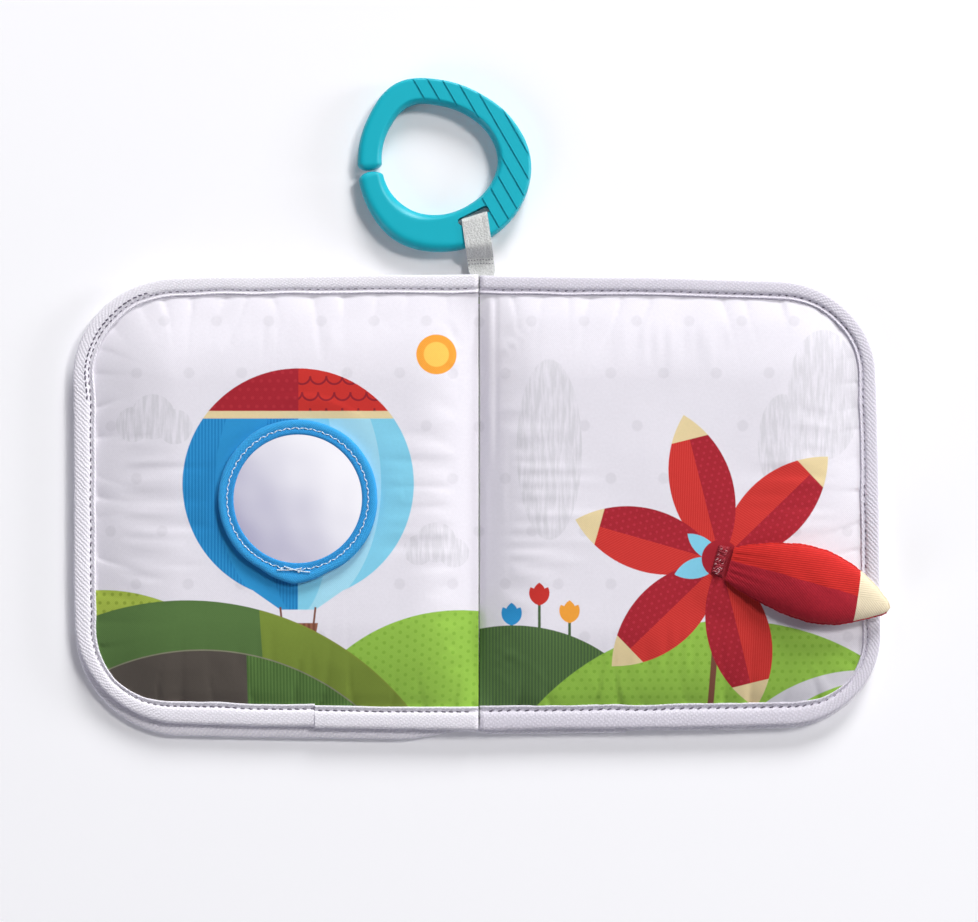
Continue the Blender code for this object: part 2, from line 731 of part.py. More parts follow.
def build():
    clear_scene()
    white_cloth = paint("printed_polyester", (0.86, 0.84, 0.90), 0.85)
    back_cloth = paint("green_polyester", (0.28, 0.52, 0.10), 0.85)
    cover_cloth = paint("blue_polyester", (0.05, 0.38, 0.72), 0.85)
    tape = paint("twill_tape", (0.76, 0.73, 0.80), 0.90)
    wadding = paint("wadding", (0.92, 0.92, 0.90), 1.0)
    frame_cloth = paint("blue_woven_tape", (0.03, 0.33, 0.72), 0.80)
    silver = paint("mirror_film", (0.90, 0.90, 0.92), 0.05, 1.0)
    red_cloth = paint("red_twill", (0.60, 0.03, 0.03), 0.85)
    ribbon_cloth = paint("satin_ribbon", (0.60, 0.62, 0.60), 0.55)
    teal_plastic = paint("teal_plastic", (0.02, 0.47, 0.58), 0.35)

    back_place = leaf(1, RIGHT_LEAN, RIGHT_SLIP)
    front_place = leaf(-1, LEFT_LEAN, LEFT_SLIP)
    right_place = leaf(1, RIGHT_LEAN)
    left_place = leaf(-1, LEFT_LEAN)

    padded_leaf("back_cover", "outer", "inner", back_place, cover_low, cover_high, True,
                (cover_cloth, back_cloth), tape, wadding)
    spine_seam(tape)

    hinge = (0.0, 0.0, HINGE_HEIGHT)
    front_turn = pivot("front_cover_turn", hinge)
    carry(front_turn, padded_leaf("front_cover", "outer", "inner", front_place, cover_low, cover_high,
                                  True, (cover_cloth, back_cloth), tape, wadding))

    def left_low(u, v):
        return page_low(u, v, LEFT_SLIP)

    def left_high(u, v):
        return page_high(u, v, LEFT_SLIP)

    def right_low(u, v):
        return page_low(u, v, RIGHT_SLIP)

    def right_high(u, v):
        return page_high(u, v, RIGHT_SLIP)

    left_turn = pivot("left_page_turn", hinge, front_turn)
    carry(left_turn, padded_leaf("left_page", "back", "face", left_place, left_low, left_high,
                                 False, (back_cloth, white_cloth), tape, wadding))
    level = left_high(CLOTH_WIDTH / 2, 0.0)
    carry(left_turn, mirror(level, wadding, silver, frame_cloth))

    right_turn = pivot("right_page_turn", hinge)
    carry(right_turn, padded_leaf("right_page", "back", "face", right_place, right_low, right_high,
                                  False, (back_cloth, white_cloth), tape, wadding))
    level = right_high(CLOTH_WIDTH / 2, 0.0)
    carry(right_turn, [flap_root_seam(level, red_cloth)])
    lift = pivot("flap_lift", (FLAP_X, FLAP_Y, flap_root_z(level)), right_turn)
    carry(lift, flap(level, red_cloth, wadding))

    slot, root = ribbon_ends()
    bend = pivot("loop_bend", (root.x, root.y, RIBBON_ROOT_Z))
    carry(bend, [hang_loop(ribbon_cloth)])
    free = slot + (root - slot).normalized() * (eye_length() + EYE_CLOSING / 2)
    swing = pivot("ring_swing", (free.x, free.y, RIBBON_ROOT_Z), bend)
    carry(swing, [link_ring(teal_plastic)])


build()
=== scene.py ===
# Baby soft book lying open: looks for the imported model, in metres.
import math

import bmesh
import bpy
import numpy as np
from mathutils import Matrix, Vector


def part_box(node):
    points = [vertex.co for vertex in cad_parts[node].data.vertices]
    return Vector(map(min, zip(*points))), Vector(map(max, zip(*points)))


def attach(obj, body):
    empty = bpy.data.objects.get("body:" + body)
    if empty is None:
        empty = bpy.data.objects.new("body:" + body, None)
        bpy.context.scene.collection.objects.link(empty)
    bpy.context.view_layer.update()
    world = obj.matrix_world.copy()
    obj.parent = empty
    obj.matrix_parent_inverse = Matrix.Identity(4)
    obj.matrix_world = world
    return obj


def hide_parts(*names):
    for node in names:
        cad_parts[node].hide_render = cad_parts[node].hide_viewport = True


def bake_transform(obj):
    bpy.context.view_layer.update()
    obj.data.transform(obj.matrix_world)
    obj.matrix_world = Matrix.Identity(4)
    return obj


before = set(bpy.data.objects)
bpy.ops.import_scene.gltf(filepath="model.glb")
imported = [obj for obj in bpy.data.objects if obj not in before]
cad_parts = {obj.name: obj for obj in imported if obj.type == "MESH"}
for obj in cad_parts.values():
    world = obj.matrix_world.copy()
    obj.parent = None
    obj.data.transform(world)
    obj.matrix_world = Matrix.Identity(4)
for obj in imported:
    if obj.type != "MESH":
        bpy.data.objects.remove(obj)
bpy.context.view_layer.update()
mm = 0.001


def say(text):
    print("soft book:", text)


def hexColour(code):
    # sRGB hex to the linear colour that Blender's sockets hold
    parts = [int(code[i:i + 2], 16) / 255 for i in (1, 3, 5)]
    return tuple(c / 12.92 if c <= 0.04045 else ((c + 0.055) / 1.055) ** 2.4 for c in parts) + (1.0,)


def smooth(value):
    share = np.clip(value, 0.0, 1.0)
    return share * share * (3 - 2 * share)


def pillow(value, steep=2.5):
    # how stuffed cloth rises from a seam: steep at first, then level
    return 1 - (1 - np.clip(value, 0.0, 1.0)) ** steep


def addMesh(name, points, faces, material, uv=None, cornerUv=None, creases=50, second=None):
    # second is (index of the first face, material) for the faces that have another material
    mesh = bpy.data.meshes.new(name)
    mesh.from_pydata([tuple(p) for p in points], [], [tuple(f) for f in faces])
    mesh.materials.append(material)
    if second:
        mesh.materials.append(second[1])
        mesh.polygons.foreach_set("material_index", [int(i >= second[0]) for i in range(len(faces))])
    if uv is not None:
        corners = np.empty(len(mesh.loops), np.int32)
        mesh.loops.foreach_get("vertex_index", corners)
        cornerUv = np.asarray(uv, np.float32)[corners]
    if cornerUv is not None:
        mesh.uv_layers.new(name="cloth").uv.foreach_set("vector", np.asarray(cornerUv, np.float32).ravel())
    mesh.shade_smooth()
    mesh.set_sharp_from_angle(angle=math.radians(creases))
    piece = bpy.data.objects.new(name, mesh)
    bpy.context.scene.collection.objects.link(piece)
    # the faces of a closed mesh all turn outwards
    work = bmesh.new()
    work.from_mesh(mesh)
    bmesh.ops.recalc_face_normals(work, faces=work.faces)
    work.to_mesh(mesh)
    work.free()
    return piece


def joined(*parts):
    # coordinates to points, along a new last axis
    return np.stack(np.broadcast_arrays(*parts), axis=-1)


def gridFaces(rows, columns, start=0, closedRows=False, closedColumns=False):
    faces = []
    for i in range(rows if closedRows else rows - 1):
        for j in range(columns if closedColumns else columns - 1):
            a, b = start + i * columns, start + (i + 1) % rows * columns
            k = (j + 1) % columns
            faces.append((a + j, a + k, b + k, b + j))
    return faces


def runLength(points):
    return np.concatenate([[0], np.cumsum(np.linalg.norm(np.diff(points, axis=0), axis=1))])


def sweepMesh(name, rows, material, closed=False, creases=55):
    # rows: (steps, around, 3); capped unless the sweep is closed. Its UV is in metres, along and across.
    steps, around = rows.shape[:2]
    middle = rows.mean(axis=1)
    along = runLength(np.concatenate([middle, middle[:1]]) if closed else middle)
    ring = rows[steps // 2]
    across = runLength(np.concatenate([ring, ring[:1]]))
    uv = []
    for i in range(steps if closed else steps - 1):
        for j in range(around):
            uv += [(along[i], across[j]), (along[i], across[j + 1]),
                   (along[i + 1], across[j + 1]), (along[i + 1], across[j])]
    faces = gridFaces(steps, around, closedRows=closed, closedColumns=True)
    if not closed:
        faces += [tuple(range(around)), tuple((steps - 1) * around + i for i in range(around))]
        uv += [(along[0], across[j]) for j in range(around)] + [(along[-1], across[j]) for j in range(around)]
    return addMesh(name, rows.reshape(-1, 3), faces, material, cornerUv=uv, creases=creases)


def addThreads(name, runs, material, sides=6, uvs=None):
    # runs: (points, radii) of round threads, all in one mesh
    points, faces, uv = [], [], []
    for number, (line, radii) in enumerate(runs):
        line = np.asarray(line, float)
        ahead = np.gradient(line, axis=0)
        ahead /= np.linalg.norm(ahead, axis=1)[:, None]
        side = np.cross(ahead, (0, 0, 1))
        side /= np.linalg.norm(side, axis=1)[:, None]
        up = np.cross(side, ahead)
        along = runLength(line)
        start = len(points)
        for k, radius in enumerate(np.broadcast_to(radii, len(line))):
            for turn in np.arange(sides) * math.tau / sides:
                points.append(line[k] + radius * (side[k] * math.cos(turn) + up[k] * math.sin(turn)))
                uv.append(uvs[number][k] if uvs else (along[k], turn * radius))
        faces += gridFaces(len(line), sides, start=start, closedColumns=True)
        last = start + (len(line) - 1) * sides
        faces += [tuple(range(start, start + sides)), tuple(range(last, last + sides))]
    return addMesh(name, points, faces, material, uv=uv, creases=80)


def bow(end, shoulder, middle):
    # five values along a stitch, in mm
    return np.array([end, shoulder, middle, shoulder, end]) * mm


def put(tree, kind, inputs=(), out=0, **settings):
    # adds one node with its settings and links, and hands back an output
    node = tree.nodes.new("ShaderNode" + kind)
    for name, value in settings.items():
        setattr(node, name, value)
    for key, value in inputs.items() if isinstance(inputs, dict) else enumerate(inputs):
        if isinstance(value, bpy.types.NodeSocket):
            tree.links.new(value, node.inputs[key])
        elif value is not None:
            node.inputs[key].default_value = value
    return node.outputs[out] if len(node.outputs) else node


def calc(tree, operation, *values):
    return put(tree, "Math", values, operation=operation)


def ramp(tree, value, low, high):
    # 0 at low, 1 at high
    return put(tree, "MapRange", {"Value": value, "From Min": low, "From Max": high})


def mixed(tree, share, first, second):
    # two colours, each a socket or a hex code
    first, second = (hexColour(tone) if isinstance(tone, str) else tone for tone in (first, second))
    return put(tree, "Mix", {0: share, 6: first, 7: second}, out=2, data_type="RGBA")


def newMaterial(name):
    material = bpy.data.materials.new(name)
    material.use_nodes = True
    material.node_tree.nodes.clear()
    return material, material.node_tree


def newCloth(name):
    # a material with the piece's own UV, which is in metres
    material, tree = newMaterial(name)
    return material, tree, put(tree, "UVMap", uv_map="cloth")


def finishMaterial(tree, colour, roughness, height, relief, **shader):
    # relief is the real depth of the height map's full range
    values = {"Base Color": colour, "Roughness": roughness}
    values.update((key.replace("_", " "), value) for key, value in shader.items())
    values["Normal"] = put(tree, "Bump", {"Strength": 1.0, "Distance": relief, "Height": height})
    put(tree, "OutputMaterial", {"Surface": put(tree, "BsdfPrincipled", values)})


def vectorCalc(tree, operation, *values):
    # for the operations whose result is a number
    return put(tree, "VectorMath", values, out=1, operation=operation)


# Printed polyester: plain-woven, dull, its print a little uneven from thread to thread
clothLook = {
    "thread": 0.8 * mm,        # the real one is about 0.3 mm, too fine to show, so it is drawn coarser
    "relief": 0.035 * mm,
    "roughness": 0.85,
    "slub": 1.2 * mm,
    "slubShade": 0.10,
    "cloud": 14 * mm,
    "sheen": 0.05,
}


def waveAlong(tree, uv, pitch, angle, shift=None):
    # sine across ribs that run at this angle; shift is a phase in radians
    turn = math.radians(angle)
    across = (-math.sin(turn) * math.tau / pitch, math.cos(turn) * math.tau / pitch, 0)
    phase = vectorCalc(tree, "DOT_PRODUCT", uv, across)
    if shift is not None:
        phase = calc(tree, "ADD", phase, shift)
    return calc(tree, "SINE", phase)


def weave(tree, uv, pitch):
    # plain weave as two crossed waves, 0 to 1
    both = calc(tree, "MULTIPLY", waveAlong(tree, uv, pitch, 0), waveAlong(tree, uv, pitch, 90))
    return calc(tree, "MULTIPLY_ADD", both, 0.5, 0.5)


def ribsOver(tree, uv, pitch, angle, shift=None):
    # the same wave, 0 to 1
    return calc(tree, "MULTIPLY_ADD", waveAlong(tree, uv, pitch, angle, shift), 0.5, 0.5)


def mottle(tree, uv, size, detail=3.0):
    return put(tree, "TexNoise", {"Vector": uv, "Scale": 1 / size, "Detail": detail, "Roughness": 0.6})


def shaded(tree, colour, *parts):
    # a socket's colour or a hex code times 1 plus each (value, depth), the value being 0 to 1
    shade = 1.0
    for value, depth in parts:
        centred = calc(tree, "MULTIPLY_ADD", value, depth, 1 - depth / 2)
        shade = centred if shade == 1.0 else calc(tree, "MULTIPLY", shade, centred)
    if isinstance(colour, str):
        colour = hexColour(colour)[:3]
    return put(tree, "VectorMath", {0: colour, 3: shade}, operation="SCALE")


def wovenCloth(tree, uv, colour, look=clothLook):
    threads = weave(tree, uv, look["thread"])
    slub = mottle(tree, uv, look["slub"])
    cloud = mottle(tree, uv, look["cloud"], 2.0)
    tinted = shaded(tree, colour, (threads, 0.05), (slub, look["slubShade"]), (cloud, 0.05))
    height = calc(tree, "MULTIPLY_ADD", slub, 0.5, threads)
    finishMaterial(tree, tinted, look["roughness"], height, look["relief"], Sheen_Weight=look["sheen"],
                   Sheen_Roughness=0.5, Specular_IOR_Level=0.25)


# Leaves: what they share. Heights go up from the table, u runs from the spine, v along it.
leaf = {
    "fold": 1.0 * mm,              # how far the tape stands out past the cloth
    "width": {-1: 157.9 * mm, 1: 155.7 * mm},
    "corner": {-1: 40 * mm, 1: 36 * mm},
    "rise": {-1: 1.7 * mm, 1: 1.1 * mm},      # the leaves lie a little above the middle of the seam
    "taper": 0.011,                # and are a little taller at the spine
    # how far the tape reaches in, from the bottom to the top: it is drawn narrow round the lower corners
    "tapePlaces": (-1.0, -0.96, -0.86, -0.5, 0.4, 1.0),
    "tape": {-1: (8.1, 6.6, 5.4, 7.8, 7.8, 6.4), 1: (8.6, 7.0, 5.4, 6.2, 6.2, 6.4)},
    "pinch": {-1: (1.8 * mm, 0.0), 1: (1.3 * mm, 1.9 * mm)},     # the lower and the upper corner drawn in
    "spineGap": 3.3 * mm,
    "lean": {-1: 0.9 * mm, 1: 1.1 * mm},      # fore edges swing over towards the right at the bottom
    "slip": {-1: 5.0 * mm, 1: 1.3 * mm},      # covers have slipped down from under the pages
    "spineSlip": 1.0 * mm,
    "slipFade": 30 * mm,
    "shoulder": 4 * mm,
    "cloths": 1.3 * mm,
    "stack": 1.0 * mm,
    "gap": 0.5 * mm,
    "coverLoft": 3.9 * mm,
    "pageLoft": 5.5 * mm,
    "coverRise": 18 * mm,
    "pageRise": 34 * mm,
    "spineRise": 26 * mm,
    "valley": 3.1 * mm,            # how far the pages reach in past the seam's edge
}
leaf["halfHeight"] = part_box("right_page_binding")[1].y - leaf["fold"]
# the height that a page has under its tape
leaf["pageEdge"] = 2 * leaf["cloths"] + leaf["gap"] + 3 * leaf["stack"]


def bySide(name, side):
    return np.where(np.asarray(side) < 0, leaf[name][-1], leaf[name][1])


def edgeDistance(u, v, side):
    width, corner = bySide("width", side), bySide("corner", side)
    pastU = u - (width - corner)
    pastV = np.abs(v) - (leaf["halfHeight"] - corner)
    straight = np.minimum(width - u, leaf["halfHeight"] - np.abs(v))
    return np.where((pastU > 0) & (pastV > 0), corner - np.hypot(pastU, pastV), straight)


def tapeReach(v, side):
    up = v / leaf["halfHeight"]
    left, right = (np.interp(up, leaf["tapePlaces"], leaf["tape"][way]) for way in (-1, 1))
    return np.where(np.asarray(side) < 0, left, right) * mm


def insetAt(u, v, side):
    # distance from the tape's inner edge towards the middle of the leaf
    return edgeDistance(u, v, side) - tapeReach(v, side)


def tapeLift(u, v, side):
    return 1 - smooth(insetAt(u, v, side) / leaf["shoulder"])


def slipAt(u, side):
    return leaf["spineSlip"] + (bySide("slip", side) - leaf["spineSlip"]) * smooth(u / leaf["slipFade"])


def coverLow(u, v, side):
    return leaf["stack"] * tapeLift(u, v, side)


def coverHigh(u, v, side):
    full = pillow(u / leaf["spineRise"])
    full = full * pillow(insetAt(u, v, side) / leaf["coverRise"])
    return coverLow(u, v, side) + leaf["cloths"] + leaf["coverLoft"] * full


def pageLow(u, v, side):
    inside = np.maximum(u, 0.0)
    below = v + slipAt(inside, side)
    skin = coverHigh(inside, below, side) + leaf["stack"] * tapeLift(inside, below, side)
    lift = tapeLift(inside, v, side)
    taped = leaf["cloths"] + 2 * leaf["stack"]
    return skin + (taped - skin) * lift + leaf["gap"] + leaf["stack"] * lift


def pageHigh(u, v, side):
    # from its height under the tape to that of the stuffed middle, or down into the valley
    full = pillow((u + leaf["valley"]) / (leaf["spineRise"] + leaf["valley"]))
    sunk = 1.0 * mm * smooth(-u / leaf["valley"])
    inner = 2 * leaf["cloths"] + leaf["gap"] + (leaf["coverLoft"] + leaf["pageLoft"]) * full - sunk
    edge = pillow(insetAt(u, v, side) / leaf["pageRise"], 1.7)
    return leaf["pageEdge"] + (inner - leaf["pageEdge"]) * edge


def leafPlace(u, v, side, slips=False):
    inside = np.maximum(u, 0.0)
    share = inside / bySide("width", side)
    up = v / leaf["halfHeight"]
    low, high = (np.where(np.asarray(side) < 0, leaf["pinch"][-1][k], leaf["pinch"][1][k]) for k in (0, 1))
    drawn = np.where(up < 0, low, high) * share ** 4 * up ** 4
    x = side * (leaf["spineGap"] + u - drawn) - bySide("lean", side) * up * share
    y = bySide("rise", side) + v * (1 + leaf["taper"] * (1 - 2 * share)) - np.sign(up) * drawn
    return x, y - (slipAt(inside, side) if slips else 0.0)


def leafColumns(spacing, first, side):
    # distances from the spine, closer together round the corners
    corner = leaf["corner"][side]
    straight = leaf["width"][side] - corner
    run = np.linspace(first, straight, round((straight - first) / spacing) + 1)
    turns = np.linspace(0, math.pi / 2, round(corner * math.pi / 2 / spacing) + 1)[1:]
    return np.concatenate([run, straight + corner * np.sin(turns)])


def columnReach(u, side):
    corner = bySide("corner", side)
    past = np.clip((u - (bySide("width", side) - corner)) / corner, 0.0, 1.0)
    return leaf["halfHeight"] - corner + corner * np.sqrt(1 - past ** 2)


def halfRound(side):
    # half of the way round a leaf's edge
    corner = bySide("corner", side)
    return bySide("width", side) + leaf["halfHeight"] - (2 - math.pi / 2) * corner


def wholeRound(side):
    return 2 * float(halfRound(side))


def edgePlace(run, side):
    # from the bottom of the spine round to its top: place on the leaf, and the way out of it
    corner = leaf["corner"][side]
    straight, low = leaf["width"][side] - corner, leaf["halfHeight"] - corner
    late = run > halfRound(side)
    near = np.where(late, 2 * halfRound(side) - run, run)
    turn = np.clip((near - straight) / corner, 0, math.pi / 2)
    up = np.maximum(near - straight - corner * math.pi / 2, 0)
    flip = np.where(late, -1, 1)
    u = np.minimum(near, straight) + corner * np.sin(turn)
    return u, (up - low - corner * np.cos(turn)) * flip, np.sin(turn), -np.cos(turn) * flip


def edgeRun(u, v, side):
    # the run along the edge that lies beside a point of the leaf
    width, corner = bySide("width", side), bySide("corner", side)
    straight, low = width - corner, leaf["halfHeight"] - corner
    toEnd = leaf["halfHeight"] - np.abs(v)
    near = np.where(width - u < toEnd, straight + corner * math.pi / 2 + low - np.abs(v), u)
    arc = straight + corner * np.arctan2(u - straight, np.abs(v) - low)
    near = np.where((u > straight) & (np.abs(v) > low), arc, near)
    return np.where(v > 0, 2 * halfRound(side) - near, near)


# Gathers where the cloth is sewn into its tape: creases at uneven distances, each with its own length
gathers = {
    "count": 90,
    "start": -40 * mm,
    "pitch": (8 * mm, 17 * mm),
    "depth": (0.6 * mm, 2.2 * mm),
    "reach": (4 * mm, 12 * mm),
    "slant": 0.45,
    "skews": [0.5, 0.7, 1.5, 2.0],       # their deepest line lies nearer one end or the other
    "plumpness": 0.42,
    "seam": 1.2 * mm,
}


def gatherField(seed):
    dice = np.random.default_rng(seed)
    count = gathers["count"]
    spots = np.cumsum(dice.uniform(*gathers["pitch"], count)) + gathers["start"]
    depth, reach = dice.uniform(*gathers["depth"], count), dice.uniform(*gathers["reach"], count)
    slant = dice.uniform(-gathers["slant"], gathers["slant"], count)
    skew = dice.choice(gathers["skews"], count)

    def crease(u, v, side):
        # how far the cloth is drawn in, 0 or more
        inset = insetAt(u, v, side)
        run = edgeRun(u, v, side)
        place = run + np.interp(run, spots, slant) * np.maximum(inset, 0)
        phase = np.interp(place, spots, np.arange(count))
        number = np.floor(phase).astype(int)
        puff = np.abs(np.sin(math.pi * (phase - number) ** skew[number])) ** gathers["plumpness"]
        fade = np.exp(-np.maximum(inset, 0) / np.interp(place, spots, reach))
        return np.interp(place, spots, depth) * (1 - puff) * fade * smooth(inset / gathers["seam"])

    return crease


# Settling of the face cloth: cut a little too large for its seams, blown up, and left to buckle
settle = {
    "spacing": 2.6 * mm,
    "scale": 10.0,
    "frames": 22,
    "quality": 5,
    "roughness": 1.5 * mm,
    "slack": 0.035,
    "pressure": 3.0,
    "stiffness": 0.3,
    "blurCells": 4,
    "share": 0.5,
    "limit": 0.35 * mm,
    "fade": (7 * mm, 14 * mm),
}


def blurred(values, reach):
    # box blur in both directions, three times
    for _ in range(3):
        for axis in (0, 1):
            padded = np.pad(values, [(reach, reach) if k == axis else (0, 0) for k in (0, 1)], mode="reflect")
            total = np.cumsum(padded, axis=axis)
            total = np.concatenate([np.zeros_like(np.take(total, [0], axis)), total], axis)
            count = values.shape[axis]
            high = np.take(total, np.arange(2 * reach + 1, 2 * reach + 1 + count), axis)
            values = (high - np.take(total, np.arange(count), axis)) / (2 * reach + 1)
    return values


def gridOver(columns, spacing):
    # (column, share of the column's half length) over a leaf
    share = np.linspace(-1, 1, round(2 * leaf["halfHeight"] / spacing) + 1)
    return np.meshgrid(columns, share, indexing="ij")


def settledCloth(side):
    # heights of the buckles that Blender's cloth makes, over a coarse grid of the leaf
    u, share = gridOver(leafColumns(settle["spacing"], 0.0, side), settle["spacing"])
    v = share * columnReach(u, side)
    x, y = leafPlace(u, v, side)
    dice = np.random.default_rng(11 + side)
    z = blurred(dice.normal(0, settle["roughness"], u.shape), 1)
    inset = insetAt(u, v, side)
    sewn = (inset < 0.5 * mm) | (u < 1 * mm)
    z[sewn] = 0.0
    mesh = bpy.data.meshes.new("settling")
    points = joined(x, y, z).reshape(-1, 3) * settle["scale"]
    mesh.from_pydata(points.tolist(), [], gridFaces(*u.shape))
    sheet = bpy.data.objects.new("settling", mesh)
    bpy.context.scene.collection.objects.link(sheet)
    group = sheet.vertex_groups.new(name="sewn")
    group.add([int(i) for i in np.flatnonzero(sewn.ravel())], 1.0, "REPLACE")
    cloth = sheet.modifiers.new("settle", "CLOTH")
    cloth.settings.vertex_group_mass = "sewn"
    cloth.settings.quality = settle["quality"]
    cloth.settings.shrink_min = -settle["slack"]
    cloth.settings.use_pressure = True
    cloth.settings.uniform_pressure_force = settle["pressure"]
    cloth.settings.bending_stiffness = settle["stiffness"]
    cloth.settings.effector_weights.gravity = 0.0
    cloth.collision_settings.use_collision = False
    cloth.point_cache.frame_start, cloth.point_cache.frame_end = 1, settle["frames"]
    for number in range(1, settle["frames"] + 1):
        bpy.context.scene.frame_set(number)
    settled = sheet.evaluated_get(bpy.context.evaluated_depsgraph_get())
    places = np.empty(len(mesh.vertices) * 3)
    settled.data.vertices.foreach_get("co", places)
    heights = places.reshape(*u.shape, 3)[..., 2] / settle["scale"]
    bpy.data.objects.remove(sheet)
    bpy.context.scene.frame_set(1)
    buckles = heights - blurred(heights, settle["blurCells"])
    say(f"cloth rose {heights.max() / mm:.1f} mm, buckles {np.abs(buckles).max() / mm:.2f} mm")
    start, run = settle["fade"]
    buckles = np.clip(settle["share"] * buckles, -settle["limit"], settle["limit"])
    return buckles * smooth((inset - start) / run)


def resampled(values, shape):
    # from one grid to a finer one over the same leaf
    rows = np.linspace(0, values.shape[0] - 1, shape[0])
    columns = np.linspace(0, values.shape[1] - 1, shape[1])
    tall = np.stack([np.interp(rows, np.arange(values.shape[0]), column) for column in values.T], axis=1)
    return np.stack([np.interp(columns, np.arange(values.shape[1]), row) for row in tall])


def padMesh(name, top, bottom, material, back, uv=None):
    # a closed pad from two grids of points, its underside in another cloth; the UV is its plan unless given
    rows, columns = top.shape[:2]
    count = rows * columns
    index = np.arange(count).reshape(rows, columns)
    rim = np.concatenate([index[0], index[1:, -1], index[-1, -2::-1], index[-2:0:-1, 0]])
    upper = gridFaces(rows, columns)
    sides = [(a, b, b + count, a + count) for a, b in zip(rim, np.roll(rim, -1))]
    lower = [tuple(corner + count for corner in face) for face in upper]
    points = np.concatenate([top.reshape(-1, 3), bottom.reshape(-1, 3)])
    uv = (top[..., :2] if uv is None else uv).reshape(-1, 2)
    return addMesh(name, points, upper + sides + lower, material, uv=np.concatenate([uv, uv]), creases=60,
                   second=(len(upper), back))


pageLook = {
    "spacing": 0.95 * mm,
    "thinnest": 0.4 * mm,
    # what lies on a page keeps its cloth flat: (middle x, middle y, radius) in mm
    "flat": {-1: [(-71.9, 2.3, 34)], 1: [(104, -25, 16), (126, -30, 22)]},
    "billow": 0.25 * mm,
    # (place, width, height) in mm of the crease that runs down beside the spine, on the right page
    "spineCrease": ((4.6, 1.3, 0.5), (6.6, 0.9, -0.45)),
    "underGathers": 0.3,
}
coverLook = {
    "spacing": 1.6 * mm,
    "gathers": 0.4,
}


def makePage(name, side, face, back):
    u, share = gridOver(leafColumns(pageLook["spacing"], -leaf["valley"], side), pageLook["spacing"])
    v = share * columnReach(u, side)
    x, y = leafPlace(u, v, side)
    # the gathers are sharpest along the bottom
    sharp = 0.5 + 0.5 * smooth(-v / leaf["halfHeight"]) * smooth((0.9 - u / leaf["width"][side]) / 0.1)
    crease = gatherField(20 + side)(u, v, side) * sharp
    billow = np.sin(x / (11 * mm) + 1.3 * np.sin(y / (17 * mm))) * np.sin(y / (13 * mm) + side)
    loose = smooth(insetAt(u, v, side) / (12 * mm)) * smooth(u / (8 * mm))
    past = [np.hypot(x - cx * mm, y - cy * mm) - radius * mm for cx, cy, radius in pageLook["flat"][side]]
    for away in past:
        loose = loose * smooth(away / (8 * mm))
    soft = pageLook["billow"] * billow * loose
    soft = soft + resampled(settledCloth(side), u.shape) * (0.25 + 0.75 * loose)
    soft = np.minimum(soft, 0.25 * mm + 9 * mm * (1 - loose))
    for away in past:
        soft = np.where(away < 0, np.minimum(soft, 0.05 * mm), soft)
    if side > 0:
        fades = smooth((y - 5 * mm) / (30 * mm)) * (1 - tapeLift(np.maximum(u, 0), v, side))
        soft = soft + fades * sum(height * mm * np.exp(-((x - place * mm) / (width * mm)) ** 2)
                                  for place, width, height in pageLook["spineCrease"])
    low = pageLow(u, v, side) + pageLook["underGathers"] * gatherField(40 + side)(u, v, side)
    high = np.maximum(pageHigh(u, v, side) - crease + soft, low + pageLook["thinnest"])
    return padMesh(name, joined(x, y, high), joined(x, y, low), face, back)


def makeCovers(face, back):
    # both covers are one quilted spread that runs on across the spine
    left, right = (leafColumns(coverLook["spacing"], 0.0, side) + leaf["spineGap"] for side in (-1, 1))
    s, share = gridOver(np.concatenate([-left[::-1], [0.0], right]), coverLook["spacing"])
    side = np.where(s < 0, -1, 1)
    u = np.maximum(np.abs(s) - leaf["spineGap"], 0.0)
    v = share * columnReach(u, side)
    x, y = leafPlace(u, v, side, slips=True)
    x = np.where(np.abs(s) < leaf["spineGap"], s, x)
    above, under = (coverLook["gathers"] * gatherField(seed)(u, v, side) for seed in (60, 61))
    low = coverLow(u, v, side) + under
    high = np.maximum(coverHigh(u, v, side) - above, low + pageLook["thinnest"])
    return padMesh("covers", joined(x, y, high), joined(x, y, low), face, back)


# Binding tape: cotton twill folded over the edge and stitched near its inner edge
tapeShape = {
    "spacing": 1.0 * mm,
    "drawnWidth": 9.5 * mm,        # the one that its section is drawn for
    "stitchInset": 1.95 * mm,      # from the tape's inner edge
    "puff": 0.22 * mm,
    "wave": 0.30 * mm,
    "wavePitch": 13 * mm,
    "swing": 0.21 * mm,
    "swingPitch": 29.9 * mm,
    "seed": {-1: 5, 1: 7},
    "endRound": 1.2 * mm,
    "tuck": 0.6 * mm,              # it holds the leaf from here outwards
    "stitchPitch": {-1: 3.1 * mm, 1: 3.6 * mm},
    "stitchLength": 1.9 * mm,
    "stitchSlant": {-1: 0.12 * mm, 1: 0.35 * mm},
    "thread": 0.32 * mm,
    "join": 62.5 * mm,             # where the left page's tape ends overlap: the end below lies further in
    "joinOut": 0.6 * mm,
    "joinLift": 0.45 * mm,
    "coverJoin": 55 * mm,
    "coverJoinOut": 0.7 * mm,
    "backTack": (34 * mm, 24 * mm),     # a second row of stitches, before and past the upper corner
    "cut": 21 * mm,                # its width before it was folded
}
# (distance out from the tape's inner edge, height on the leaf), and the same under the leaf, in mm
tapeCrown = (
    (0.0, 0.02), (-0.12, 0.50), (0.1, 0.90), (0.45, 1.0), (0.8, 0.85), (1.15, 0.45), (1.55, 0.22),
    (2.0, 0.14), (2.35, 0.45), (2.8, 0.95), (3.6, 1.22), (4.8, 1.30), (6.2, 1.28), (7.4, 1.22),
    (8.3, 1.12), (8.8, 0.94), (9.1, 0.66), (9.3, 0.25), (9.4, -0.3),
)
tapeUnder = ((9.2, 0.2), (8.6, 0.5), (7.0, 0.85), (4.0, 0.9), (1.0, 0.8), (0.0, 0.45), (0.0, 0.02))


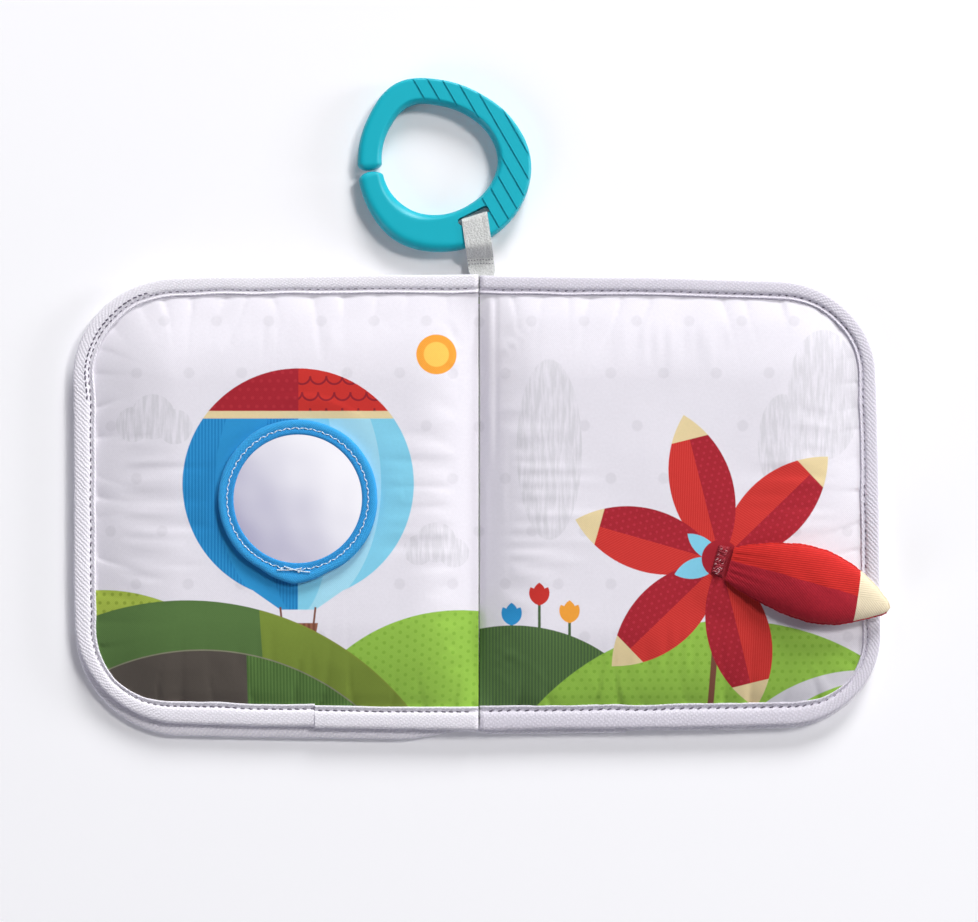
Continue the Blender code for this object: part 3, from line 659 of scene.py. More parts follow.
def wander(length, pitch, seed):
    # a smooth uneven wave along a path, from -1 to 1
    knots = np.random.default_rng(seed).uniform(-1, 1, int(length / pitch) + 4)

    def wave(run):
        place = np.asarray(run) / pitch + 1
        first = np.clip(np.floor(place).astype(int), 0, len(knots) - 2)
        return knots[first] + (knots[first + 1] - knots[first]) * smooth(place - first)

    return wave


def tapeRuns(first, side, *joins):
    # evenly spaced, with more of them where two ends of the tape overlap
    total = wholeRound(side) - first
    runs = np.linspace(first, total, round((total - first) / tapeShape["spacing"]) + 1)
    near = [join + step * mm for join in joins for step in (-0.6, -0.2, -0.05, 0.05, 0.2, 0.6, 1.1)]
    return np.sort(np.concatenate([runs, near]))


def tapeWaves(run, length, seed):
    # how its inner edge wanders, and how the whole tape swings out
    return (tapeShape["wave"] * wander(length, tapeShape["wavePitch"], seed)(run),
            tapeShape["swing"] * wander(length, tapeShape["swingPitch"], seed + 1)(run))


def bindLeaf(runs, side, slips, low, high, seed, lift=0.0, out=0.0):
    # the tape's section at each point of the edge, as rows of points
    u, v, outU, outV = edgePlace(runs, side)
    base = np.maximum(u, 0.0)
    top, under = high(base, v, side), low(base, v, side)
    wave, swing = tapeWaves(runs - runs[0], runs[-1] - runs[0], seed)
    swing = swing + out
    ends = np.minimum(runs - runs[0], runs[-1] - runs) / tapeShape["endRound"]
    ends = np.sqrt(1 - (1 - np.clip(ends, 0, 1)) ** 2)
    inner = tapeReach(v, side) + wave
    stretch = (inner + leaf["fold"]) / tapeShape["drawnWidth"]
    stitched = np.abs(np.sin(math.pi * runs / tapeShape["stitchPitch"][side])) ** 0.7
    rows = []

    def place(inset, z):
        x, y = leafPlace(u - outU * (inset - swing), v - outV * (inset - swing), side, slips)
        rows.append(joined(x, y, z))

    for inward, rise in tapeCrown:
        # between the stitches it swells
        near = math.exp(-((inward - 2.5) / 0.8) ** 2)
        height = rise * mm * ends + tapeShape["puff"] * near * (stitched - 0.5) * ends
        height = height + (lift if rise > 0.1 else lift * 0.5)
        place(inner - inward * mm * stretch, top + np.where(rise > 0, np.maximum(height, 0.02 * mm), height))
    place(-leaf["fold"], (top + under) / 2)
    for inward, rise in tapeUnder:
        place(inner - inward * mm * stretch, under - rise * mm * (0.4 + 0.6 * ends))
    place(tapeShape["tuck"], under - 0.01 * mm)
    place(tapeShape["tuck"] - 0.5 * mm, (top + under) / 2)
    place(tapeShape["tuck"], top + 0.01 * mm)
    return np.stack(rows, axis=1)


def makePageTape(name, side, material):
    join = tapeShape["join"]
    runs = tapeRuns(-leaf["valley"], side, join) if side < 0 else tapeRuns(-leaf["valley"], side)
    over = (runs < join) & (side < 0)
    lift = np.where(over, tapeShape["joinLift"], 0.0)
    if side < 0:
        lift = lift - 0.25 * mm * np.exp(-((runs - join) / (0.5 * mm)) ** 2) * ~over
    out = np.where(over, tapeShape["joinOut"], 0.0)
    rows = bindLeaf(runs, side, False, pageLow, pageHigh, tapeShape["seed"][side], lift, out)
    return sweepMesh(name, rows, material)


def makeCoverTape(name, material):
    runs = tapeRuns(0.0, 1, tapeShape["coverJoin"])
    out = np.where(runs < tapeShape["coverJoin"], tapeShape["coverJoinOut"], 0.0)
    right = bindLeaf(runs, 1, True, coverLow, coverHigh, 17, 0.0, out)[1:-1]
    left = bindLeaf(tapeRuns(0.0, -1), -1, True, coverLow, coverHigh, 18)[1:-1]
    return sweepMesh(name, np.concatenate([right, left[::-1]]), material, closed=True)


def stitchRow(side, first, last, inset, seed, pitch, lift=0.0):
    # lock stitches: each thread shows between two needle holes, where the tape is drawn down
    dice = np.random.default_rng(seed)
    total = wholeRound(side) + 2 * leaf["valley"]
    along = np.array([-1, -0.6, 0, 0.6, 1])
    threads = []
    for middle in np.arange(first, last, pitch):
        half = tapeShape["stitchLength"] / 2 * dice.uniform(0.8, 1.15)
        runs = middle + dice.uniform(-0.2, 0.2) * mm + half * along
        u, v, outU, outV = edgePlace(runs, side)
        wave, swing = tapeWaves(runs + leaf["valley"], total, tapeShape["seed"][side])
        over = (runs < tapeShape["join"]) & (side < 0)
        at = tapeReach(v, side) + wave - swing - inset - tapeShape["joinOut"] * over
        at = at + tapeShape["stitchSlant"][side] * along
        x, y = leafPlace(u - outU * at, v - outV * at, side)
        z = leaf["pageEdge"] + lift + bow(0.10, 0.30, 0.38)
        z = z + (tapeShape["joinLift"] - 0.03 * mm) * over
        threads.append((joined(x, y, z), tapeShape["thread"] * np.array([0.5, 1, 1, 1, 0.5])))
    return threads


def makeStitches(name, side, material):
    total = wholeRound(side)
    inset = tapeShape["stitchInset"]
    threads = stitchRow(side, 1.5 * mm, total - 1.5 * mm, inset, 70 + side, tapeShape["stitchPitch"][side])
    if side < 0:
        # where the seam was begun and ended
        corner = total - leaf["width"][side] + 0.1 * leaf["corner"][side]
        before, past = tapeShape["backTack"]
        threads += stitchRow(side, corner - before, corner + past, inset + 1.2 * mm, 75, 2.6 * mm, 0.95 * mm)
    return addThreads(name, threads, material)


# (across, height) in mm of the sewn strip seen at the bottom of the valley between the pages
seamOutline = ((-3.0, 1.35), (-3.0, 1.7), (-1.2, 1.8), (0.0, 1.6), (1.2, 1.8), (3.0, 1.7), (3.0, 1.35))


def makeSeam(material):
    reach = leaf["halfHeight"] * (1 + leaf["taper"]) + 0.5 * mm
    y = leaf["rise"][1] + np.linspace(-reach - leaf["spineSlip"] * 0.5, reach - leaf["spineSlip"], 121)
    rows = np.array([[(x * mm, place, z * mm) for x, z in seamOutline] for place in y])
    return sweepMesh("spineSeam", rows, material)


# Mirror: polyester film on foam, under a frame of woven tape sewn round with zigzag thread
padBox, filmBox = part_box("mirror_backing_pad"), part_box("mirror_sheet")
mirrorShape = {
    "centre": (filmBox[0] + filmBox[1]) / 2,
    "radius": (filmBox[1].x - filmBox[0].x) / 2,
    "rounding": 0.15 * mm,
    "opening": 25.5 * mm,
    "outer": 31.6 * mm,
    "tip": 2.3 * mm,
    "tipAngle": math.radians(267),
    "tipSpread": math.radians(25),
    "steps": 240,
    "dome": 0.35 * mm,
    "thread": 0.22 * mm,
    "threadRadius": 28.0 * mm,
    "threadTurns": (math.radians(-97), math.radians(267)),
    "zigzag": 0.36 * mm,
    "zigzagPitch": 1.75 * mm,
    "plain": 228,                  # here, in degrees, the zigzag runs nearly straight
}
# (distance out from the opening, height over the film, share of the tip's reach)
mirrorRail = (
    (0.0, 0.35, 0), (0.05, 0.70, 0), (0.30, 0.92, 0), (0.9, 1.00, 0.1), (1.6, 0.94, 0.2), (2.1, 0.76, 0.3),
    (2.5, 0.70, 0.4), (2.9, 0.80, 0.5), (3.5, 1.00, 0.6), (4.4, 1.05, 0.8), (5.2, 0.96, 0.9), (5.7, 0.66, 1),
    (6.0, 0.2, 1), (6.1, -0.6, 1),
)


def discMesh(name, box, material, dome=0.0):
    # a closed disc of rings that share a middle point on each face
    radius, centre, rounding = (mirrorShape[key] for key in ("radius", "centre", "rounding"))
    low, high = box[0].z, box[1].z
    rings = [(radius * k / 24, high + dome * (1 - (k / 24) ** 2)) for k in range(1, 25)]
    rings[-1] = (radius - rounding, high)
    rings += [(radius, high - rounding), (radius, low + rounding), (radius - rounding, low)]
    rings += [(radius * k / 6, low) for k in range(5, 0, -1)]
    steps = 120
    turns = np.arange(steps) * math.tau / steps
    points = [(centre.x, centre.y, high + dome), (centre.x, centre.y, low)]
    for r, z in rings:
        points += [(centre.x + r * math.cos(turn), centre.y + r * math.sin(turn), z) for turn in turns]
    faces = gridFaces(len(rings), steps, start=2, closedColumns=True)
    for middle, first in ((0, 2), (1, 2 + (len(rings) - 1) * steps)):
        faces += [(middle, first + i, first + (i + 1) % steps) for i in range(steps)]
    return addMesh(name, points, faces, material, uv=[(p[0], p[1]) for p in points])


def roundMirror(turn, radius, z):
    centre = mirrorShape["centre"]
    return joined(centre.x + radius * np.cos(turn), centre.y + radius * np.sin(turn), z)


def makeMirrorFrame(cloth):
    shape = mirrorShape
    filmTop, padLow = filmBox[1].z, padBox[0].z
    turns = np.arange(shape["steps"]) * math.tau / shape["steps"]
    away = np.abs((turns - shape["tipAngle"] + math.pi) % math.tau - math.pi)
    tip = shape["tip"] * np.maximum(0.0, 1 - away / shape["tipSpread"])
    wave = 0.12 * mm * wander(math.tau, 0.30, 31)(turns)
    section = [(shape["opening"] + out * mm, filmTop + rise * mm, share) for out, rise, share in mirrorRail]
    section += [(shape["outer"], padLow + 0.5 * mm, 1), (shape["outer"] - 0.4 * mm, padLow + 0.05 * mm, 1)]
    section += [(shape["radius"] + 0.4 * mm, z, 0) for z in (padLow + 0.05 * mm, filmTop + 0.3 * mm)]
    rows = [roundMirror(turns, r + share * (tip + wave), z) for r, z, share in section]
    return sweepMesh("mirrorFrame", np.stack(rows, axis=1), cloth, closed=True, creases=60)


def makeZigzag(thread):
    # thread round the frame, its two ends crossing near the tip
    shape = mirrorShape
    first, last = shape["threadTurns"]
    count = round((last - first) * shape["threadRadius"] / shape["zigzagPitch"])
    dice = np.random.default_rng(33)

    def onRail(turns, radii, lift):
        out, rise, _ = np.array(mirrorRail).T * mm
        return roundMirror(turns, radii, filmBox[1].z + np.interp(radii - shape["opening"], out, rise) + lift)

    runs = []
    for number in range(count):
        share = np.linspace(0.06, 0.94, 5)
        turns = first + (last - first) * (number + share) / count
        way = (1 - 2 * share) * (1 if number % 2 else -1) * dice.uniform(0.7, 1.2)
        straight = np.clip(1 - np.abs((np.degrees(turns) + 360) % 360 - shape["plain"]) / 22, 0, 1)
        radii = shape["threadRadius"] + shape["zigzag"] * way * (1 - 0.85 * straight)
        arch = bow(-0.12, 0.12, 0.2)
        runs.append((onRail(turns, radii, arch), shape["thread"] * np.array([0.6, 1, 1, 1, 0.6])))
    for begin, end, out, over in ((254, 274, 1.3, -0.5), (259, 280, -0.7, 1.5)):
        radii = shape["threadRadius"] + np.linspace(out, over, 9) * mm
        runs.append((onRail(np.radians(np.linspace(begin, end, 9)), radii, 0.45 * mm), shape["thread"]))
    for turn, radius in ((257, 28.4), (271, 29.0)):
        knot = np.radians(turn) + np.linspace(-0.014, 0.014, 5)
        runs.append((roundMirror(knot, radius * mm, filmBox[1].z + 1.15 * mm), bow(0.15, 0.35, 0.42)))
    return addThreads("mirrorThread", runs, thread, sides=8)


# Stuffed flap: two-tone twill spindle with a pale tip, gathered where it is sewn down
flapShape = {
    "root": Vector((99.6 * mm, -23.2 * mm, 13.75 * mm)),
    "angle": math.radians(-16),
    "length": 65.5 * mm,
    "topLoft": 5.8 * mm,
    "underLoft": 3.0 * mm,
    "rootLoft": 0.3 * mm,
    "cloth": 0.65 * mm,
    "droop": 1.6 * mm,
    "piping": 0.42 * mm,
    # (share of the length, half width in mm) of its upper and its lower edge
    "upper": ((0, 5.6), (.03, 7.3), (.1, 9.2), (.2, 11.6), (.3, 13.5), (.38, 14.6), (.46, 15.1), (.55, 14.9),
              (.65, 13.8), (.79, 10.6), (.88, 7.4), (.95, 4.3), (.985, 2.6), (1, 1.2)),
    "lower": ((0, 6.6), (.05, 8.2), (.15, 10), (.3, 12.3), (.45, 13.6), (.58, 13.6), (.69, 12.2), (.77, 10.2),
              (.83, 8.1), (.9, 5.5), (.96, 3.4), (.99, 2.2), (1, 1.2)),
    # (place across, depth, reach) in mm
    "pleats": ((-5.2, 1.0, 9), (-3.4, 1.4, 15), (-0.9, 1.0, 20), (1.8, 1.1, 11), (3.8, 1.3, 14),
               (6.2, 0.8, 9)),
    "steps": 116,
    "tipSteps": 14,
    "tipFrom": 0.96,
    "around": 72,
}


def smoothThrough(places, table):
    # a soft curve through (place, value) pairs
    xs, ys = np.array(table).T
    fine = np.linspace(xs[0], xs[-1], 400)
    values = np.interp(fine, xs, ys)
    for _ in range(3):
        padded = np.concatenate([np.repeat(values[0], 12), values, np.repeat(values[-1], 12)])
        values = np.convolve(padded, np.ones(25) / 25, mode="valid")
    return np.interp(places, fine, values)


def flapPoint(along, across, z):
    c, d = math.cos(flapShape["angle"]), math.sin(flapShape["angle"])
    root = flapShape["root"]
    return joined(root.x + along * c - across * d, root.y + along * d + across * c, z)


def flapSeamHeight(share):
    droop = flapShape["droop"] * smooth((share - 0.5) / 0.5)
    return flapShape["root"].z + flapShape["underLoft"] * np.sin(math.pi * share) - droop


def flapHalfWidth(share, way):
    # a little uneven, as a turned and stuffed seam is
    uneven = 1 + 0.006 * np.sin(share * 37) + 0.005 * np.sin(share * 71 + 1)
    upper, lower = (smoothThrough(share, flapShape[key]) for key in ("upper", "lower"))
    tip = np.sqrt(1 - np.clip((share - 0.965) / 0.036, 0, 1) ** 2)
    return np.where(way > 0, upper, lower) * mm * uneven * tip


def makeFlap(cloth):
    shape = flapShape
    shares = np.concatenate([np.linspace(0, shape["tipFrom"], shape["steps"]),
                             np.linspace(shape["tipFrom"], 1, shape["tipSteps"] + 1)[1:]])
    turns = np.arange(shape["around"]) * math.tau / shape["around"]
    share, turn = np.meshgrid(shares, turns, indexing="ij")
    half = flapHalfWidth(share, np.cos(turn))
    along, across = share * shape["length"], half * np.cos(turn)
    full = np.sin(math.pi * share)
    up = np.sin(turn)
    loft = np.where(up > 0, shape["topLoft"], shape["underLoft"])
    rise = (shape["rootLoft"] + loft * full + shape["cloth"]) * np.sign(up) * np.abs(up) ** 0.8
    folds = np.zeros(share.shape)
    for place, depth, reach in shape["pleats"]:
        away = across / mm - place * (1 + along / (30 * mm))
        folds += depth * 0.45 * mm * np.exp(-(away / 0.55) ** 2) * np.exp(-(along / (reach * mm)) ** 2)
    dents = np.sin(along / (3.1 * mm) + 2 * np.sin(across / (4 * mm))) * np.sin(across / (3.7 * mm) + 1)
    puckered = np.exp(-((np.abs(across) - half) / (2.4 * mm)) ** 2) * np.sin(along / (0.62 * mm))
    uneven = (0.18 * mm * dents + 0.22 * mm * puckered) * full
    z = flapSeamHeight(share) + rise - np.clip(up, 0, 1) * (folds * smooth(along / (1.5 * mm)) - uneven)
    points = flapPoint(along, across, z)
    count = shape["around"]
    faces = gridFaces(len(shares), count, closedColumns=True)
    faces += [tuple(range(count)), tuple((len(shares) - 1) * count + i for i in range(count))]
    return addMesh("flap", points.reshape(-1, 3), faces, cloth, uv=joined(along, across).reshape(-1, 2),
                   creases=60)


def makeFlapSeam(cloth):
    # the turned edge of its two cloths stands out as a thin ridge
    run = np.linspace(0.03, 1, 90)
    share = np.concatenate([run, run[-2::-1]])
    way = np.where(np.arange(len(share)) < len(run), 1, -1)
    half = way * (flapHalfWidth(share, way) + 0.1 * mm)
    along = share * flapShape["length"] + 0.3 * mm * smooth((share - 0.97) / 0.03)
    line = flapPoint(along, half, flapSeamHeight(share))
    radii = flapShape["piping"] * (1 + 0.2 * np.sin(share * 190)) * (1 - 0.3 * smooth((0.1 - share) / 0.07))
    # it takes the colour of the cloth beside it, but stays dark below the pale tip
    uv = joined(np.where(way > 0, along, np.minimum(along, 50 * mm)), half)
    return addThreads("flapSeam", [(line, radii)], cloth, sides=8, uvs=[uv])


# The flap's gathered end, folded flat and sewn down with dense rows of thread
rootShape = {
    "front": -0.9 * mm,
    "length": 5.1 * mm,
    "ramp": 0.36,
    "halfWidth": 6.4 * mm,
    "height": 1.5 * mm,
    "rows": 5,
    "rowPlaces": (0.36, 0.88),
    "threadPitch": 0.9 * mm,
    "shown": {"flapRootThreads": 0.7, "flapRootSpecks": 0.35},     # share of the stitches in each colour
}


def makeRootBand(cloth):
    shape = rootShape
    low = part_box("flap_root_seam")[0].z
    a, b = np.meshgrid(np.linspace(0, 1, 15), np.linspace(-1, 1, 41), indexing="ij")
    along = shape["front"] - shape["length"] * a
    across = b * shape["halfWidth"] * (1 - 0.10 * a)
    crown = (1 - np.abs(2 * a - 1) ** 6) * (1 - np.abs(b) ** 8) * (0.25 + 0.75 * smooth(a / shape["ramp"]))
    bumps = 0.16 * np.sin(across / (0.55 * mm)) * np.sin(math.pi * a)
    top = flapPoint(along, across, low + shape["height"] * np.clip(crown * (0.92 + bumps), 0.08, 1.1))
    bottom = flapPoint(along, across, low + 0.02 * mm)
    return padMesh("flapRoot", top, bottom, cloth, cloth, joined(along, across))


def makeRootThreads(name, thread, seed):
    shape = rootShape
    dice = np.random.default_rng(seed)
    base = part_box("flap_root_seam")[0].z + shape["height"] * 0.98
    runs = []
    reach = 0.86 * shape["halfWidth"]
    for row in np.linspace(*shape["rowPlaces"], shape["rows"]):
        middle = shape["front"] - shape["length"] * row
        for place in np.arange(-reach, reach, shape["threadPitch"]):
            place += dice.uniform(-0.2, 0.2) * mm
            tilt = dice.uniform(-0.25, 0.25) * mm
            along = middle + np.array([-0.42, -0.25, 0, 0.25, 0.42]) * mm
            across = place + np.array([-1, -0.5, 0, 0.5, 1]) * (0.35 * mm + tilt)
            if dice.uniform() < shape["shown"][name]:
                runs.append((flapPoint(along, across, base + bow(-0.2, 0.02, 0.1)), bow(0.08, 0.15, 0.17)))
    return addThreads(name, runs, thread)


ringLow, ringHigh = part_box("link_ring")[0].z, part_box("link_ring")[1].z
# Clip-on ring: C-shaped, its edges every 30 degrees from +X as shares of the radius
ringShape = {
    "radius": 36.5 * mm,
    "centre": Vector((-15.168 * mm, 137.957 * mm)),
    "outerShares": (0.989, 0.915, 0.866, 0.904, 1.000, 0.942, 0.923, 0.951, 1.004, 0.992, 0.995, 1.003),
    "innerShares": (0.619, 0.603, 0.589, 0.622, 0.710, 0.679, 0.658, 0.652, 0.627, 0.586, 0.566, 0.590),
    # chamfer inside and rounding outside at the same angles, in mm
    "chamfer": (2.0, 1.9, 1.9, 1.8, 1.6, 1.5, 1.5, 2.6, 3.0, 1.8, 1.4, 1.6),
    "rounding": (1.0, 0.9, 0.9, 1.0, 1.4, 2.0, 2.4, 2.8, 3.2, 2.8, 1.6, 1.0),
    "gap": 1.0 * mm,
    "gapAngle": math.radians(187.5),
    "armEnd": 3.0 * mm,
    "armTip": 0.06,                # share of the band's width that is left at the very end
    "steps": 360,
    "slotAngle": math.radians(27),
    "slotShift": 1.6 * mm,
    "slotWall": 3.3 * mm,
    "slotLength": 13.5 * mm,
    "slotWidth": 3.0 * mm,
    "slotCorner": 1.2 * mm,
    "grooves": 6,
    "groovePitch": 5.0 * mm,
    "grooveFirst": 6.5 * mm,
    "grooveAngle": math.radians(-60),
    "grooveWidth": 0.7 * mm,
    "grooveDepth": 0.5 * mm,
    "overrun": 4 * mm,             # how far the cutters reach past it
}
# (side, share of that side's bevel, height): a flat chamfer inside, a round edge outside
ringSection = (
    (-1, 0.0, -0.45), (-1, 0.0, 0.35), (-1, 0.10, 0.52), (-1, 0.5, 0.76), (-1, 0.86, 0.96), (-1, 1.1, 1.0),
    (-1, 1.4, 1.0), (1, 1.5, 1.0), (1, 1.15, 1.0), (1, 0.85, 0.975), (1, 0.55, 0.89), (1, 0.30, 0.74),
    (1, 0.12, 0.54), (1, 0.02, 0.28), (1, 0.0, 0.0), (1, 0.0, -0.45), (1, 0.10, -0.72), (1, 0.35, -0.94),
    (1, 0.6, -1.0), (-1, 0.9, -1.0), (-1, 0.45, -0.93), (-1, 0.12, -0.72),
)


def throughShares(shares, turn):
    # smooth closed curve through the shares
    place = np.asarray(turn) / math.tau * len(shares)
    start = np.floor(place).astype(int)
    t = place - start
    table = np.array(shares)
    before, here, after, beyond = (table[(start + k) % len(shares)] for k in (-1, 0, 1, 2))
    return here + 0.5 * t * (after - before + t * (
        2 * before - 5 * here + 4 * after - beyond + t * (3 * (here - after) + beyond - before)))


def prismMesh(name, outlines, low, high, material):
    # upright prisms on flat outlines, as one cutter
    points, faces = [], []
    for outline in outlines:
        count, start = len(outline), len(points)
        points += [(x, y, z) for z in (low, high) for x, y in outline]
        faces += [tuple(range(start, start + count)), tuple(range(start + count, start + 2 * count))]
        faces += [(start + i, start + (i + 1) % count, start + count + (i + 1) % count, start + count + i)
                  for i in range(count)]
    return addMesh(name, points, faces, material, uv=[(p[0], p[1]) for p in points])


def heading(turn):
    return Vector((math.cos(turn), math.sin(turn)))


def cutBy(piece, cutter):
    cut = piece.modifiers.new("cut", "BOOLEAN")
    cut.operation = "DIFFERENCE"
    cut.solver = "EXACT"
    cut.object = cutter
    depsgraph = bpy.context.evaluated_depsgraph_get()
    mesh = bpy.data.meshes.new_from_object(piece.evaluated_get(depsgraph))
    piece.modifiers.clear()
    piece.data = mesh
    bpy.data.objects.remove(cutter)


def makeRing(plastic):
    shape = ringShape
    middle = shape["radius"] * throughShares(shape["outerShares"], shape["gapAngle"])
    first = shape["gapAngle"] + shape["gap"] / 2 / middle
    last = shape["gapAngle"] + math.tau - shape["gap"] / 2 / middle
    end = shape["armEnd"] / middle
    nearEnd = end * (1 - np.cos(np.linspace(0, math.pi / 2, 10)))
    between = np.linspace(first + end, last - end, shape["steps"])[1:-1]
    turns = np.concatenate([first + nearEnd, between, last - nearEnd[::-1]])
    inner = shape["radius"] * throughShares(shape["innerShares"], turns)
    outer = shape["radius"] * throughShares(shape["outerShares"], turns)
    bevels = {way: throughShares(shape[key], turns) * mm for way, key in ((-1, "chamfer"), (1, "rounding"))}
    # the arm ends close in on the middle of the band
    near = np.clip(np.minimum(turns - first, last - turns) / end, 0, 1)
    keep = np.maximum(np.sqrt(1 - (1 - near) ** 2), shape["armTip"])
    centre, half = (inner + outer) / 2, (outer - inner) / 2
    tall = (ringHigh - ringLow) / 2 * (0.5 + 0.5 * keep)
    rows = []
    for way, step, height in ringSection:
        r = centre + way * (half - np.minimum(bevels[way] * step, half * 0.96)) * keep
        x, y = shape["centre"].x + r * np.cos(turns), shape["centre"].y + r * np.sin(turns)
        rows.append(joined(x, y, (ringLow + ringHigh) / 2 + height * tall))
    ring = sweepMesh("linkRing", np.stack(rows, axis=1), plastic, creases=38)
    top = ringHigh + shape["overrun"]
    cutBy(ring, prismMesh("slotCutter", [slotOutline()], ringLow - shape["overrun"], top, plastic))
    cutBy(ring, prismMesh("grooveCutter", grooveOutlines(), ringHigh - shape["grooveDepth"], top, plastic))
    ring.data.shade_smooth()
    ring.data.set_sharp_from_angle(angle=math.radians(32))
    return ring


def slotOutline():
    # for the ribbon: a rounded rectangle, a wall's width out from the inner edge
    shape = ringShape
    along = heading(shape["slotAngle"])
    out = Vector((along.y, -along.x))
    offset = shape["radius"] * throughShares(shape["innerShares"], shape["slotAngle"] - math.pi / 2)
    offset = float(offset) + shape["slotWall"] + shape["slotWidth"] / 2
    corner, halfLength, halfWidth = shape["slotCorner"], shape["slotLength"] / 2, shape["slotWidth"] / 2
    slot = []
    for cx, cy, start in ((1, 1, 0), (-1, 1, 90), (-1, -1, 180), (1, -1, 270)):
        for bend in np.radians(start + np.array([0, 30, 60, 90])):
            x = cx * (halfLength - corner) + corner * math.cos(bend) + shape["slotShift"]
            y = cy * (halfWidth - corner) + corner * math.sin(bend) + offset
            slot.append(tuple(shape["centre"] + along * x + out * y))
    return slot


def grooveOutlines():
    shape = ringShape
    run = heading(shape["grooveAngle"])
    across = Vector((-run.y, run.x))
    outlines = []
    for number in range(shape["grooves"]):
        line = shape["centre"] + across * (shape["grooveFirst"] + number * shape["groovePitch"])
        reach, side = run * (shape["radius"] + shape["overrun"]), across * (shape["grooveWidth"] / 2)
        outlines.append([tuple(line + reach * a + side * b) for a, b in ((-1, -1), (1, -1), (1, 1), (-1, 1))])
    return outlines


# Ribbon loop: folded satin ribbon, its plies sewn together below the ring
ribbonShape = {
    "root": Vector((1.6 * mm, 91.2 * mm)),
    "crossing": Vector((-1.86 * mm, 116.0 * mm)),
    "width": 10.6 * mm,
    "thickness": 0.55 * mm,
    "rootHeight": 3.6 * mm,
    "clearance": 0.3 * mm,
    "stitchRows": ((14.4, 6.7), (17.7, 4.25), (19.2, 4.25)),     # (distance from the slot, height) in mm
    "slotAngle": math.radians(17),
    "eye": 12.9 * mm,
    "closing": 4.0 * mm,
    "split": 16.4 * mm,
    "across": 15,
    # lengthwise folds near its right edge: (height in mm, place and width as shares of the half width)
    "folds": ((-0.22, 0.55, 0.06), (0.12, 0.72, 0.12)),
}
ribbonRun = ribbonShape["root"] - ribbonShape["crossing"]


def ribbonSide(along):
    # the way across the ribbon, which turns from the slot's angle to level
    return heading(ribbonShape["slotAngle"] * (1 - min(max(along / ribbonRun.length, 0.0), 1.0)) ** 1.3)


def ribbonRows(path, thick, seed):
    # path: (distance from the slot, height) of the ribbon's middle
    shape = ribbonShape
    halfWidth = shape["width"] / 2
    points = np.array(path)
    step = np.gradient(points, axis=0)
    step /= np.linalg.norm(step, axis=1)[:, None]
    normal = np.stack([-step[:, 1], step[:, 0]], axis=1)
    shares = np.linspace(-1, 1, shape["across"])
    section = [(share, -1) for share in shares] + [(share, 1) for share in shares[::-1]]
    rows = []
    for (along, z), (na, nz) in zip(points, normal):
        side = ribbonSide(along)
        ring = []
        for share, lift in section:
            fold = 0.05 * math.sin(seed + 5 * share + along / (1.9 * mm))
            for height, place, width in shape["folds"]:
                fold += height * math.exp(-((share - place) / width) ** 2)
            at = along + na * (lift * thick / 2 + fold * mm * np.sign(nz))
            spot = shape["crossing"] + ribbonRun.normalized() * at + side * share * halfWidth
            ring.append((spot.x, spot.y, z + nz * lift * thick / 2 + abs(nz) * fold * mm))
        rows.append(ring)
    return np.array(rows)


def roundedPath(corners, radius, spacing):
    # straight runs joined by round bends
    line = [Vector(corners[0])]
    for before, here, after in zip(corners, corners[1:], corners[2:]):
        a, b, c = Vector(before), Vector(here), Vector(after)
        cut = min(radius, (a - b).length / 2, (c - b).length / 2)
        p, q = b + (a - b).normalized() * cut, b + (c - b).normalized() * cut
        line += [(1 - t) ** 2 * p + 2 * t * (1 - t) * b + t * t * q for t in np.linspace(0, 1, 7)]
    line.append(Vector(corners[-1]))
    points = np.array([tuple(p) for p in line])
    along = runLength(points)
    fine = np.linspace(0, along[-1], int(along[-1] / spacing) + 2)
    return np.stack([np.interp(fine, along, points[:, k]) for k in range(2)], axis=1)


def makeRibbon(satin):
    shape = ribbonShape
    thick, joint = shape["thickness"], shape["rootHeight"]
    over = ringHigh + shape["clearance"] + thick / 2
    under = ringLow - shape["clearance"] - thick / 2 - 0.05 * mm
    closed = shape["eye"] + shape["closing"]
    loop = roundedPath([
        (shape["split"], joint + thick / 2), (closed, joint + thick / 2), (shape["eye"], over), (0.0, over),
        (0.0, under), (shape["eye"], under), (closed, joint - thick / 2), (shape["split"], joint - thick / 2),
    ], 2.0 * mm, 0.5 * mm)
    eye = sweepMesh("ribbonEye", ribbonRows(loop, thick, 0), satin, creases=60)
    sewn = np.linspace(shape["split"] - 0.3 * mm, ribbonRun.length + 2.5 * mm, 30)
    rows = ribbonRows([(along, joint) for along in sewn], 2 * thick, 2)
    # the doubled end has round corners and draws in where it tucks behind the tape
    drawn = 1 - 0.22 * smooth((sewn - ribbonRun.length + 3.5 * mm) / (4 * mm))
    centre = rows.mean(axis=1, keepdims=True)[..., :2]
    rows[..., :2] = centre + (rows[..., :2] - centre) * drawn[:, None, None]
    root = sweepMesh("ribbonRoot", rows, satin, creases=60)
    return root, eye, float(runLength(loop)[-1])


def makeRibbonStitches(thread):
    # rows right across the ribbon, where its plies are sewn together
    shape = ribbonShape
    runs = []
    dice = np.random.default_rng(55)
    for along, z in shape["stitchRows"]:
        side = ribbonSide(along * mm)
        for share in np.arange(-0.88, 0.9, 0.22):
            shift = (along + dice.uniform(-0.15, 0.15)) * mm
            middle = shape["crossing"] + ribbonRun.normalized() * shift
            line = [(*(middle + side * (share + step) * shape["width"] / 2), (z + rise) * mm)
                    for step, rise in ((-0.07, -0.1), (-0.035, 0.06), (0, 0.1), (0.035, 0.06), (0.07, -0.1))]
            runs.append((line, bow(0.08, 0.17, 0.2)))
    return addThreads("ribbonStitches", runs, thread)


